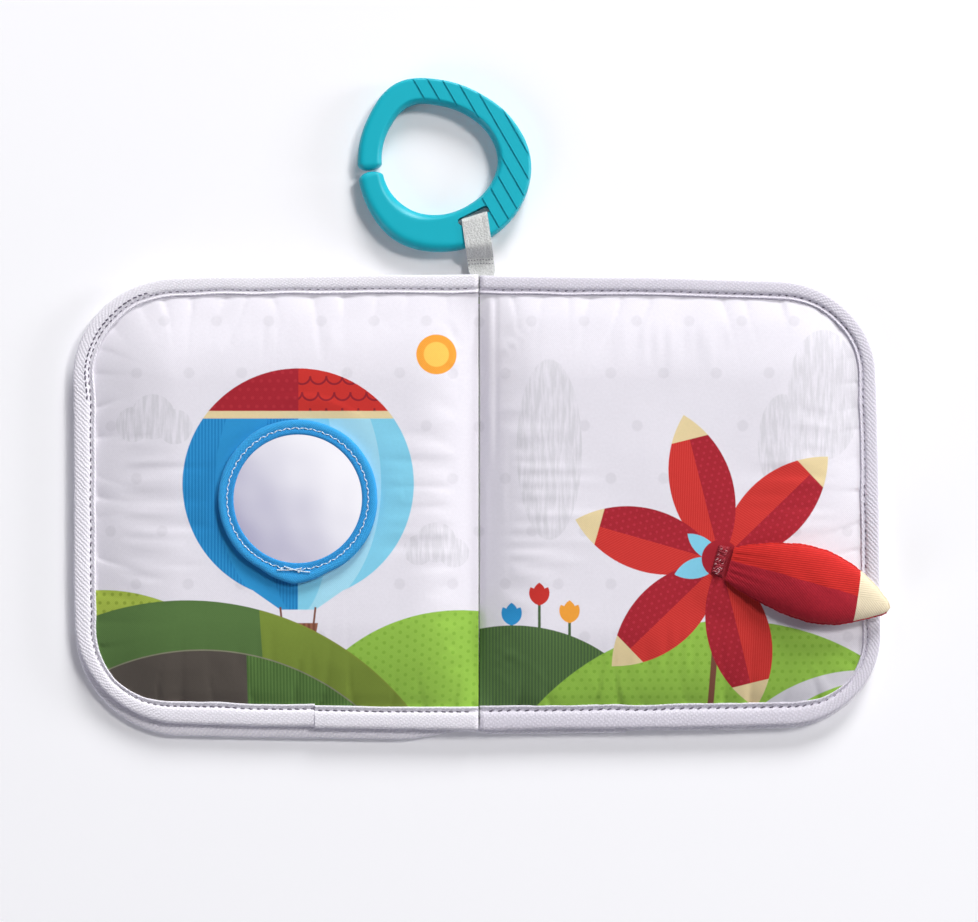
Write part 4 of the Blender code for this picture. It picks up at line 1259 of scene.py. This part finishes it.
# Prints: every shape is a distance in millimetres on the cloth, below zero inside it
def shapeDistance(tree, place, shape):
    kind, values = shape[0], shape[1:]
    if kind == "disc":
        reach = vectorCalc(tree, "DISTANCE", place, (values[0], values[1], 0))
        return calc(tree, "SUBTRACT", reach, values[2])
    if kind == "oval":
        # middle, half width, half height, turn
        x, y, halfWidth, halfHeight, turn = values
        local = put(tree, "Mapping", {
            "Vector": place, "Location": (x, y, 0), "Rotation": (0, 0, math.radians(turn)),
            "Scale": (halfWidth, halfHeight, 1)}, vector_type="TEXTURE")
        reach = vectorCalc(tree, "LENGTH", local)
        small = min(halfWidth, halfHeight)
        return calc(tree, "MULTIPLY_ADD", reach, small, -small)
    if kind == "side":
        # everything to the right of the line from the first point to the second
        x0, y0, x1, y1 = values
        length = math.hypot(x1 - x0, y1 - y0)
        out = (-(y1 - y0) / length, (x1 - x0) / length, 0)
        along = vectorCalc(tree, "DOT_PRODUCT", place, out)
        return calc(tree, "SUBTRACT", along, out[0] * x0 + out[1] * y0)
    if kind == "not":
        return calc(tree, "MULTIPLY", shapeDistance(tree, place, values[0]), -1.0)
    reach = shapeDistance(tree, place, values[0])
    for other in values[1:]:
        way = "MAXIMUM" if kind == "all" else "MINIMUM"
        reach = calc(tree, way, reach, shapeDistance(tree, place, other))
    return reach


def polygon(*corners):
    # a convex outline, its corners clockwise
    return ("all", *(("side", *a, *b) for a, b in zip(corners, corners[1:] + corners[:1])))


def stroke(x0, y0, x1, y1, width):
    # a straight bar between two points
    length = math.hypot(x1 - x0, y1 - y0)
    ax, ay = (y1 - y0) / length * width / 2, -(x1 - x0) / length * width / 2
    return polygon((x0 - ax, y0 - ay), (x1 - ax, y1 - ay), (x1 + ax, y1 + ay), (x0 + ax, y0 + ay))


def petal(x, y, angle, length, halfWidth):
    # a pointed leaf shape from a point along an angle: where two discs overlap
    radius = (length ** 2 / 4 + halfWidth ** 2) / (2 * halfWidth)
    c, s = math.cos(math.radians(angle)), math.sin(math.radians(angle))
    mx, my, off = x + c * length / 2, y + s * length / 2, radius - halfWidth
    return ("all", ("disc", mx - s * off, my + c * off, radius), ("disc", mx + s * off, my - c * off, radius))


def patternMask(tree, place, kind, pitch, share, turn):
    # common patterns: ribs, streaks, scallops, and dots in staggered rows
    local = put(tree, "Mapping", {"Vector": place, "Rotation": (0, 0, math.radians(turn)),
                                  "Scale": (1 / pitch, 1 / pitch, 1)}, vector_type="POINT")
    if kind == "ribs":
        return ramp(tree, waveAlong(tree, local, 1.0, 90), -0.5, 0.7)
    if kind == "streaks":
        drawn = put(tree, "Mapping", {"Vector": local, "Scale": (1, 0.12, 1)}, vector_type="POINT")
        grain = put(tree, "TexNoise", {"Vector": drawn, "Scale": 1.6, "Detail": 2.0})
        return ramp(tree, grain, 0.40, 0.65)
    x = put(tree, "SeparateXYZ", [local])
    y = x.node.outputs[1]
    odd = calc(tree, "FLOORED_MODULO", calc(tree, "FLOOR", y), 2.0)
    shifted = calc(tree, "MULTIPLY_ADD", odd, 0.5, x)
    across = calc(tree, "SUBTRACT", calc(tree, "FRACT", shifted), 0.5)
    middle = 1.0 if kind == "scallops" else 0.5
    up = calc(tree, "SUBTRACT", calc(tree, "FRACT", y), middle)
    spot = put(tree, "CombineXYZ", [across, up])
    reach = vectorCalc(tree, "LENGTH", spot)
    if kind == "scallops":
        reach = calc(tree, "ABSOLUTE", calc(tree, "SUBTRACT", reach, 0.5))
    edge = 0.04 if share > 0.3 else 0.02
    return ramp(tree, reach, share / 2 + edge, share / 2 - edge)


def inkOf(tree, place, ink):
    # an ink's name or code, a pattern (kind, pitch, share, turn, ground, figure), or layers over a ground
    if isinstance(ink, str):
        return hexColour(inks.get(ink, ink))
    if isinstance(ink, list):
        return printOn(tree, place, ink[0], ink[1:])
    *pattern, ground, figure = ink
    mask = patternMask(tree, place, *pattern)
    return mixed(tree, mask, inkOf(tree, place, ground), inkOf(tree, place, figure))


def printOn(tree, place, ground, layers):
    # lays each shape over the ones before, with an edge 0.3 mm soft as printed ink has
    colour = inkOf(tree, place, ground)
    for shape, ink in layers:
        tone = inkOf(tree, place, ink)
        cover = ramp(tree, shapeDistance(tree, place, shape), 0.15, -0.15)
        colour = mixed(tree, cover, colour, tone)
    return colour


inks = {
    "ground": "#E9E6EE", "paleDot": "#E0DDE5", "paleShape": "#DAD8DF", "midGreen": "#56763F",
    "darkGreen": "#45603A", "limeGreen": "#95C24B", "limeDot": "#86B53F", "yellowGreen": "#A9BE4B",
    "yellowDot": "#8FA53A", "olive": "#84923A", "taupe": "#575049", "cordBlue": "#2A93CF",
    "deepBlue": "#1C7FBE", "lightBlue": "#84D0EA", "paleBlue": "#A6DDF0", "red": "#C9302A",
    "deepRed": "#A51F2D", "darkRed": "#8F1D2A", "cream": "#E6D2A2", "orange": "#F2A23A", "brown": "#7A4A3A",
}
plainGround = ("dots", 21.0, 0.21, 0.0, "ground", "paleDot")
paleGrain = ("streaks", 2.2, 0.5, 0.0, "paleShape", "ground")


def above(y):
    return ("side", 0, y, 1, y)


def rightOf(x):
    return ("side", x, 0, x, 1)


def dotted(ground, figure, pitch=3.4, turn=0.0):
    return ("dots", pitch, 0.42, turn, ground, figure)


def ribbed(ground, figure, pitch=1.3, turn=0.0):
    return ("ribs", pitch, 0.5, turn, ground, figure)


def leftPicture():
    # a striped balloon round the mirror, over patchwork hills
    x, y = mirrorShape["centre"].x / mm, mirrorShape["centre"].y / mm + 6
    blueRibs = ribbed("deepBlue", "cordBlue")
    gores = [
        blueRibs,
        (("oval", x, y, 33, 52, 0), "cordBlue"),
        (("oval", x, y, 14, 52, 0), blueRibs),
        (rightOf(x), [
            "lightBlue",
            (("oval", x, y, 33, 52, 0), "paleBlue"),
            (("oval", x, y, 14, 52, 0), "lightBlue"),
        ]),
        (("not", above(y + 28)), [
            ("scallops", 6.4, 0.12, 0.0, "red", "darkRed"),
            (("not", rightOf(x)), dotted("deepRed", "#B02834")),
        ]),
        (("all", above(y + 29), ("not", above(y + 26))), "cream"),
    ]
    body = ("any", ("disc", x, y, 46.0),
            polygon((x - 27, y - 36), (x + 27, y - 36), (x + 7, y - 50), (x - 7, y - 50)))
    return [
        plainGround,
        (("any", ("disc", -138, 32, 7), ("disc", -130, 35, 9), ("disc", -121, 31, 7)),
         paleGrain),
        (("any", ("disc", -24, -18, 6), ("disc", -17, -15, 8), ("disc", -10, -19, 6)),
         paleGrain),
        (("disc", -17, 60, 8.0), ["orange", (("disc", -17, 60, 5.0), "#F6C65A")]),
        (("disc", -150, -106, 72), dotted("yellowGreen", "yellowDot")),
        (("disc", -8, -114, 72), dotted("limeGreen", "limeDot", 3.4, 30.0)),
        (body, gores),
        (stroke(x - 7, y - 49, x - 6, -50, 0.8), "brown"),
        (stroke(x + 7, y - 49, x + 6, -50, 0.8), "brown"),
        (polygon((x - 8, -47), (x + 8, -47), (x + 6.5, -56), (x - 6.5, -56)),
         ribbed("brown", "#96604A", 2.0, 0.0)),
        (("disc", -116, -150, 112), ["midGreen", (("side", -84, -90, -90, 0), "olive")]),
        (("disc", -116, -150, 111.4), ["midGreen", (("side", -84, -90, -90, 0), "#7B9038")]),
        (("disc", -110, -152, 94.5), "#8A8A72"),
        (("disc", -110, -152, 94), ["taupe", (("side", -92, -90, -93, 0), ribbed("#4E7038", "#5F8242"))]),
    ]


def rightPicture():
    # a big pinwheel, one of whose blades is the stuffed flap, on a stick in dotted hills
    x, y = 96.0, -22.5
    blades = []
    for turn in (44, 104, 164, 224, 284):
        c, s = math.cos(math.radians(turn)), math.sin(math.radians(turn))
        blades.append((petal(x, y, turn, 60, 12.5), [
            ribbed("red", "#D23A36", 0.9, turn + 78.0),
            (("side", x, y, x + c, y + s), dotted("deepRed", "#B5293A", 2.6, turn)),
            (("side", x + 50 * c, y + 50 * s, x + 50 * c - s, y + 50 * s + c), "cream"),
        ]))
    tulips = []
    for place, height, petals in ((24, -38, "red"), (36, -45, "orange"), (13, -46, "cordBlue")):
        tulips += [(stroke(place, -70, place, height, 1.1), "darkGreen"),
                   (("any", petal(place, height - 2, 90, 9, 2.6), petal(place, height - 2, 64, 8, 2.0),
                     petal(place, height - 2, 116, 8, 2.0)), petals)]
    return [
        plainGround,
        (("oval", 28, 22, 13, 36, 0), paleGrain),
        (("oval", 138, 44, 15, 26, 0), paleGrain),
        (("oval", 121, 24, 10, 20, 0), paleGrain),
        *tulips,
        (("disc", 14, -112, 64), ribbed("darkGreen", "midGreen")),
        (("disc", 100, -150, 104), dotted("limeGreen", "limeDot")),
        (("all", ("disc", 152, -128, 62), ("not", ("disc", 160, -128, 58))), "paleShape"),
        (stroke(x, y, x - 4, -84, 2.4), "brown"),
        *blades,
        (("any", petal(x, y, 196, 19, 4.0), petal(x, y, 140, 17, 3.4)), "lightBlue"),
        (("disc", x, y + 1, 7.5), "deepRed"),
    ]


def pagePrint(name, picture):
    # polyester cloth, printed: dull, the ink sunk into its threads
    material, tree, uv = newCloth(name)
    place = put(tree, "VectorMath", {0: uv, 3: 1 / mm}, operation="SCALE")
    wovenCloth(tree, uv, printOn(tree, place, picture[0], picture[1:]))
    return material


def coverPrint(name, ground, figure):
    # the same cloth, in one colour with small dots a shade darker
    return pagePrint(name, [dotted(ground, figure)])


def plainCloth(name, code, **look):
    material, tree, uv = newCloth(name)
    wovenCloth(tree, uv, code, {**clothLook, **look})
    return material


def twillTape(name, code, lean):
    # cotton twill: dull and soft, with broken slanting ribs 1.3 mm apart, about twice the real pitch
    material, tree, uv = newCloth(name)
    warp = calc(tree, "MULTIPLY", mottle(tree, uv, 2.0 * mm, 1.0), 6.0)
    ribs = ribsOver(tree, uv, 1.3 * mm, lean, warp)
    yarn = ribsOver(tree, uv, 1.1 * mm, -lean * 0.7, warp)
    ribs = calc(tree, "MULTIPLY", ribs, calc(tree, "MULTIPLY_ADD", yarn, 0.55, 0.45))
    slub = mottle(tree, uv, 0.9 * mm)
    cloud = mottle(tree, uv, 9 * mm, 2.0)
    tinted = shaded(tree, code, (ribs, 0.13), (slub, 0.16), (cloud, 0.06))
    finishMaterial(tree, tinted, 0.92, ribs, 0.16 * mm, Sheen_Weight=0.1, Specular_IOR_Level=0.2)
    return material


def frameTape(name, code):
    # blue woven tape, darker inside the row of thread that holds it: painted shade of the crease there
    material, tree, uv = newCloth(name)
    across = put(tree, "SeparateXYZ", [uv]).node.outputs[1]
    # painted shade: the band inside the thread row is drawn a darker blue than the rest of the tape
    colour = mixed(tree, ramp(tree, across, 3.4 * mm, 4.2 * mm), "#2E93D6", code)
    wovenCloth(tree, uv, colour, {**clothLook, "thread": 0.9 * mm, "slub": 0.8 * mm, "slubShade": 0.3,
                                  "relief": 0.12 * mm})
    return material


def mirrorFilmFinish():
    # metallised polyester film: a soft mirror, slightly blurred and a little wavy
    material, tree, uv = newCloth("metallised_polyester_film")
    waves = mottle(tree, uv, 26 * mm, 1.0)
    smudge = mottle(tree, uv, 9 * mm)
    colour = shaded(tree, "#F8F7FC", (smudge, 0.03))
    finishMaterial(tree, colour, 0.12, waves, 0.2 * mm, Metallic=1.0)
    return material


def flapTwill(name):
    # polyester twill: fine ribs on the bright half, mottled on the dark half, and a plain pale tip
    material, tree, uv = newCloth(name)
    along = put(tree, "SeparateXYZ", [uv])
    across = along.node.outputs[1]
    wobble = calc(tree, "MULTIPLY_ADD", mottle(tree, uv, 12 * mm, 1.0), 1.4 * mm, 0.6 * mm)
    half = calc(tree, "SUBTRACT", across, wobble)
    upper = ramp(tree, half, -0.1 * mm, 0.1 * mm)
    slant = calc(tree, "MULTIPLY_ADD", across, 0.13, along)
    tip = ramp(tree, slant, 51.9 * mm, 52.1 * mm)
    ribs = ribsOver(tree, uv, 0.85 * mm, 9)
    cross = ribsOver(tree, uv, 0.8 * mm, -35)
    slub = mottle(tree, uv, 1.1 * mm)
    bright = mixed(tree, ribs, "#B42422", "#D2302B")
    dark = mixed(tree, slub, "#981B2B", "#B82836")
    colour = mixed(tree, tip, mixed(tree, upper, dark, bright), "#E8DABC")
    colour = shaded(tree, colour, (slub, 0.14), (mottle(tree, uv, 8 * mm), 0.10))
    height = put(tree, "Mix", {0: upper, 2: cross, 3: ribs}, data_type="FLOAT")
    finishMaterial(tree, colour, 0.85, height, 0.08 * mm, Sheen_Weight=0.03, Specular_IOR_Level=0.15)
    return material


def threadFinish(name, code):
    # spun polyester thread: the twist of its plies is 0.5 mm, drawn at 0.8
    material, tree, uv = newCloth(name)
    twist = ribsOver(tree, uv, 0.8 * mm, 50)
    colour = shaded(tree, code, (twist, 0.15), (mottle(tree, uv, 3 * mm), 0.2))
    finishMaterial(tree, colour, 0.7, twist, 0.06 * mm, Sheen_Weight=0.2, Specular_IOR_Level=0.3)
    return material


def satinFinish(name, code):
    # polyester satin ribbon, crumpled with use: silky floats over a speckled ground
    material, tree, uv = newCloth(name)
    floats = ribsOver(tree, uv, 0.7 * mm, 0)
    speck = ramp(tree, mottle(tree, uv, 0.8 * mm), 0.38, 0.62)
    cloud = mottle(tree, uv, 3 * mm)
    colour = shaded(tree, code, (speck, 0.20), (floats, 0.08), (cloud, 0.16))
    finishMaterial(tree, colour, 0.55, speck, 0.12 * mm, Sheen_Weight=0.1, Specular_IOR_Level=0.4)
    return material


def plasticFinish():
    # ABS, injection moulded: an even satin gloss with a fine grain from the mould
    material, tree, uv = newCloth("moulded_teal_abs")
    grain = mottle(tree, uv, 0.7 * mm)
    cloud = mottle(tree, uv, 9 * mm, 2.0)
    colour = shaded(tree, "#0CB0C2", (grain, 0.04), (cloud, 0.04))
    finishMaterial(tree, colour, 0.4, grain, 0.012 * mm, Specular_IOR_Level=0.35)
    return material


# Build
greenCloth = coverPrint("lime_printed_polyester", "#8DBD42", "#7DAE37")
blueCloth = coverPrint("blue_printed_polyester", "#2C90CC", "#2584C0")
# painted light and shade: the same cotton tape is drawn lighter on the left page than on the right, for how
# the light falls on each
tapeCloth = {-1: twillTape("cotton_twill_tape_left", "#EFECF4", 45),
             1: twillTape("cotton_twill_tape_right", "#DEDAE5", -45)}
# its dark tone is partly the grey thread's own colour and partly painted shade of the groove that the thread
# is sunk in
stitchThread = threadFinish("lilac_grey_thread", "#655F70")

covers = makeCovers(greenCloth, blueCloth)
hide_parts("back_cover_outer_cloth", "back_cover_padding", "back_cover_inner_cloth",
            "front_cover_outer_cloth", "front_cover_padding", "front_cover_inner_cloth", "spine_seam")
# painted light: the lower tape is drawn lighter than the same tape above it, to lift the shade that the pages
# cast on it
coverTape = makeCoverTape("coverTape", twillTape("cotton_twill_tape_lower_painted_light", "#FAF7FE", -45))
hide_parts("back_cover_binding", "front_cover_binding")
seam = makeSeam(tapeCloth[1])
for piece in (covers, coverTape):
    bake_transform(piece)
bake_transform(seam)
say("covers")

for side, word, carrier, picture in ((1, "right", "back_cover", rightPicture),
                                     (-1, "left", "front_cover", leftPicture)):
    body = word + "_page"
    page = makePage(word + "Page", side, pagePrint("printed_polyester_" + word, picture()), greenCloth)
    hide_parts(body + "_back_cloth", body + "_padding", body + "_face_cloth")
    tape = makePageTape(word + "PageTape", side, tapeCloth[side])
    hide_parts(body + "_binding")
    stitches = makeStitches(word + "PageStitches", side, stitchThread)
    for piece in (page, tape, stitches):
        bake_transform(piece)
    say(word + " page")

foam = discMesh("mirrorFoam", padBox, plainCloth("polyurethane_foam", "#EDEBE4", relief=0.2 * mm))
film = discMesh("mirrorFilm", filmBox, mirrorFilmFinish(), dome=mirrorShape["dome"])
rim = makeMirrorFrame(frameTape("blue_woven_tape", "#37A2E2"))
zigzag = makeZigzag(threadFinish("pale_blue_thread", "#D6EAF8"))
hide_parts("mirror_backing_pad")
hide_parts("mirror_sheet")
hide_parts("mirror_frame")
for piece, slot in ((foam, "wadding"), (film, "mirror_film"), (rim, "blue_woven_tape"),
                    (zigzag, "twill_tape")):
    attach(piece, "left_page")
say("mirror")

flap = makeFlap(flapTwill("red_twill"))
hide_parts("flap_top_cloth", "flap_stuffing", "flap_under_cloth")
flapSeam = makeFlapSeam(flap.data.materials[0])
rootBand = makeRootBand(plainCloth("gathered_red_twill", "#8E1F2C", relief=0.15 * mm))
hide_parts("flap_root_seam")
rootThreads = makeRootThreads("flapRootThreads", threadFinish("dark_red_thread", "#B03A48"), 91)
rootSpecks = makeRootThreads("flapRootSpecks", threadFinish("pink_thread", "#DDA9AE"), 92)
for piece, body in ((flap, "flap"), (flapSeam, "flap"), (rootBand, "right_page"), (rootThreads, "right_page"),
                    (rootSpecks, "right_page")):
    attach(piece, body)
say("flap")

ring = makeRing(plasticFinish())
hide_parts("link_ring")
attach(ring, "link_ring")
ribbonRoot, ribbonEye, ribbonLength = makeRibbon(satinFinish("polyester_satin_ribbon", "#D2D4D2"))
ribbonStitches = makeRibbonStitches(threadFinish("grey_thread", "#8A8A90"))
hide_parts("hang_loop_ribbon")
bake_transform(ribbonRoot)
for piece in (ribbonEye, ribbonStitches):
    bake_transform(piece)
say("ring and ribbon")

# Table, light and camera
bpy.ops.mesh.primitive_plane_add(size=6)
floor = bpy.context.object
floor.name = "floor"
material, tree = newMaterial("pale_board")
diffuse = put(tree, "BsdfDiffuse", {"Color": hexColour("#FAFAFD")})
glow = put(tree, "Emission", {"Color": (1, 1, 1, 1), "Strength": 1.0})
ray = put(tree, "LightPath", out="Is Camera Ray")
put(tree, "OutputMaterial", {"Surface": put(tree, "AddShader", [diffuse, put(
    tree, "MixShader", [calc(tree, "MULTIPLY", ray, 0.05), None, glow])])})
floor.data.materials.append(material)

# (turn from +X, height in degrees, size, level that it gives a level white surface)
lamps = {
    "keyLamp": (40, 50, 1.0, 0.33, "#FFFDFB"),
    "topLamp": (74, 27, 1.6, 0.39, "#FFFFFF"),
    "sideLamp": (8, 16, 1.1, 0.09, "#FBFBFF"),
    "fillLamp": (215, 26, 2.0, 0.11, "#F2F1FF"),
}
lampDistance = 4.5
for name, (turn, height, size, level, colour) in lamps.items():
    turn, height = math.radians(turn), math.radians(height)
    lamp = bpy.data.lights.new(name, "AREA")
    lamp.shape = "DISK"
    lamp.size = size
    lamp.energy = level * math.pi ** 2 * lampDistance ** 2 / math.sin(height)
    lamp.color = hexColour(colour)[:3]
    holder = bpy.data.objects.new(name, lamp)
    bpy.context.scene.collection.objects.link(holder)
    away = Vector((math.cos(turn) * math.cos(height), math.sin(turn) * math.cos(height), math.sin(height)))
    holder.location = away * lampDistance
    holder.rotation_euler = away.to_track_quat("Z", "Y").to_euler()

# The room: even, but what the film mirrors is a white wall on the right and a lilac-grey one on the left
world = bpy.data.worlds.new("studio")
bpy.context.scene.world = world
world.use_nodes = True
tree = world.node_tree
tree.nodes.clear()
direction = put(tree, "TexCoord")
lean = vectorCalc(tree, "DOT_PRODUCT", direction, (0.8, 0.6, 0))
wall = ramp(tree, lean, -0.11, 0.01)
mirrored = mixed(tree, wall, "#A9A6BF", "#FFFEFF")
room = put(tree, "Background", {"Color": hexColour("#F1F3FA"), "Strength": 0.07})
seen = put(tree, "Background", {"Color": mirrored, "Strength": 1.04})
glossy = put(tree, "LightPath").node.outputs["Is Glossy Ray"]
put(tree, "OutputWorld", {"Surface": put(tree, "MixShader", [glossy, room, seen])})

cameraLook = {
    "distance": 1.15,
    "lens": 105.8,
    "aim": Vector((4 * mm, 17.6 * mm, 6 * mm)),
    "tilt": 2.0,
}
camera = bpy.data.objects.new("camera", bpy.data.cameras.new("camera"))
bpy.context.scene.collection.objects.link(camera)
bpy.context.scene.camera = camera
camera.data.lens = cameraLook["lens"]
tilt = math.radians(cameraLook["tilt"])
camera.location = cameraLook["aim"] + cameraLook["distance"] * Vector((0, -math.sin(tilt), math.cos(tilt)))
camera.rotation_euler = (tilt, 0, 0)
bpy.context.scene.view_settings.view_transform = "Standard"

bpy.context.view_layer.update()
say("done")
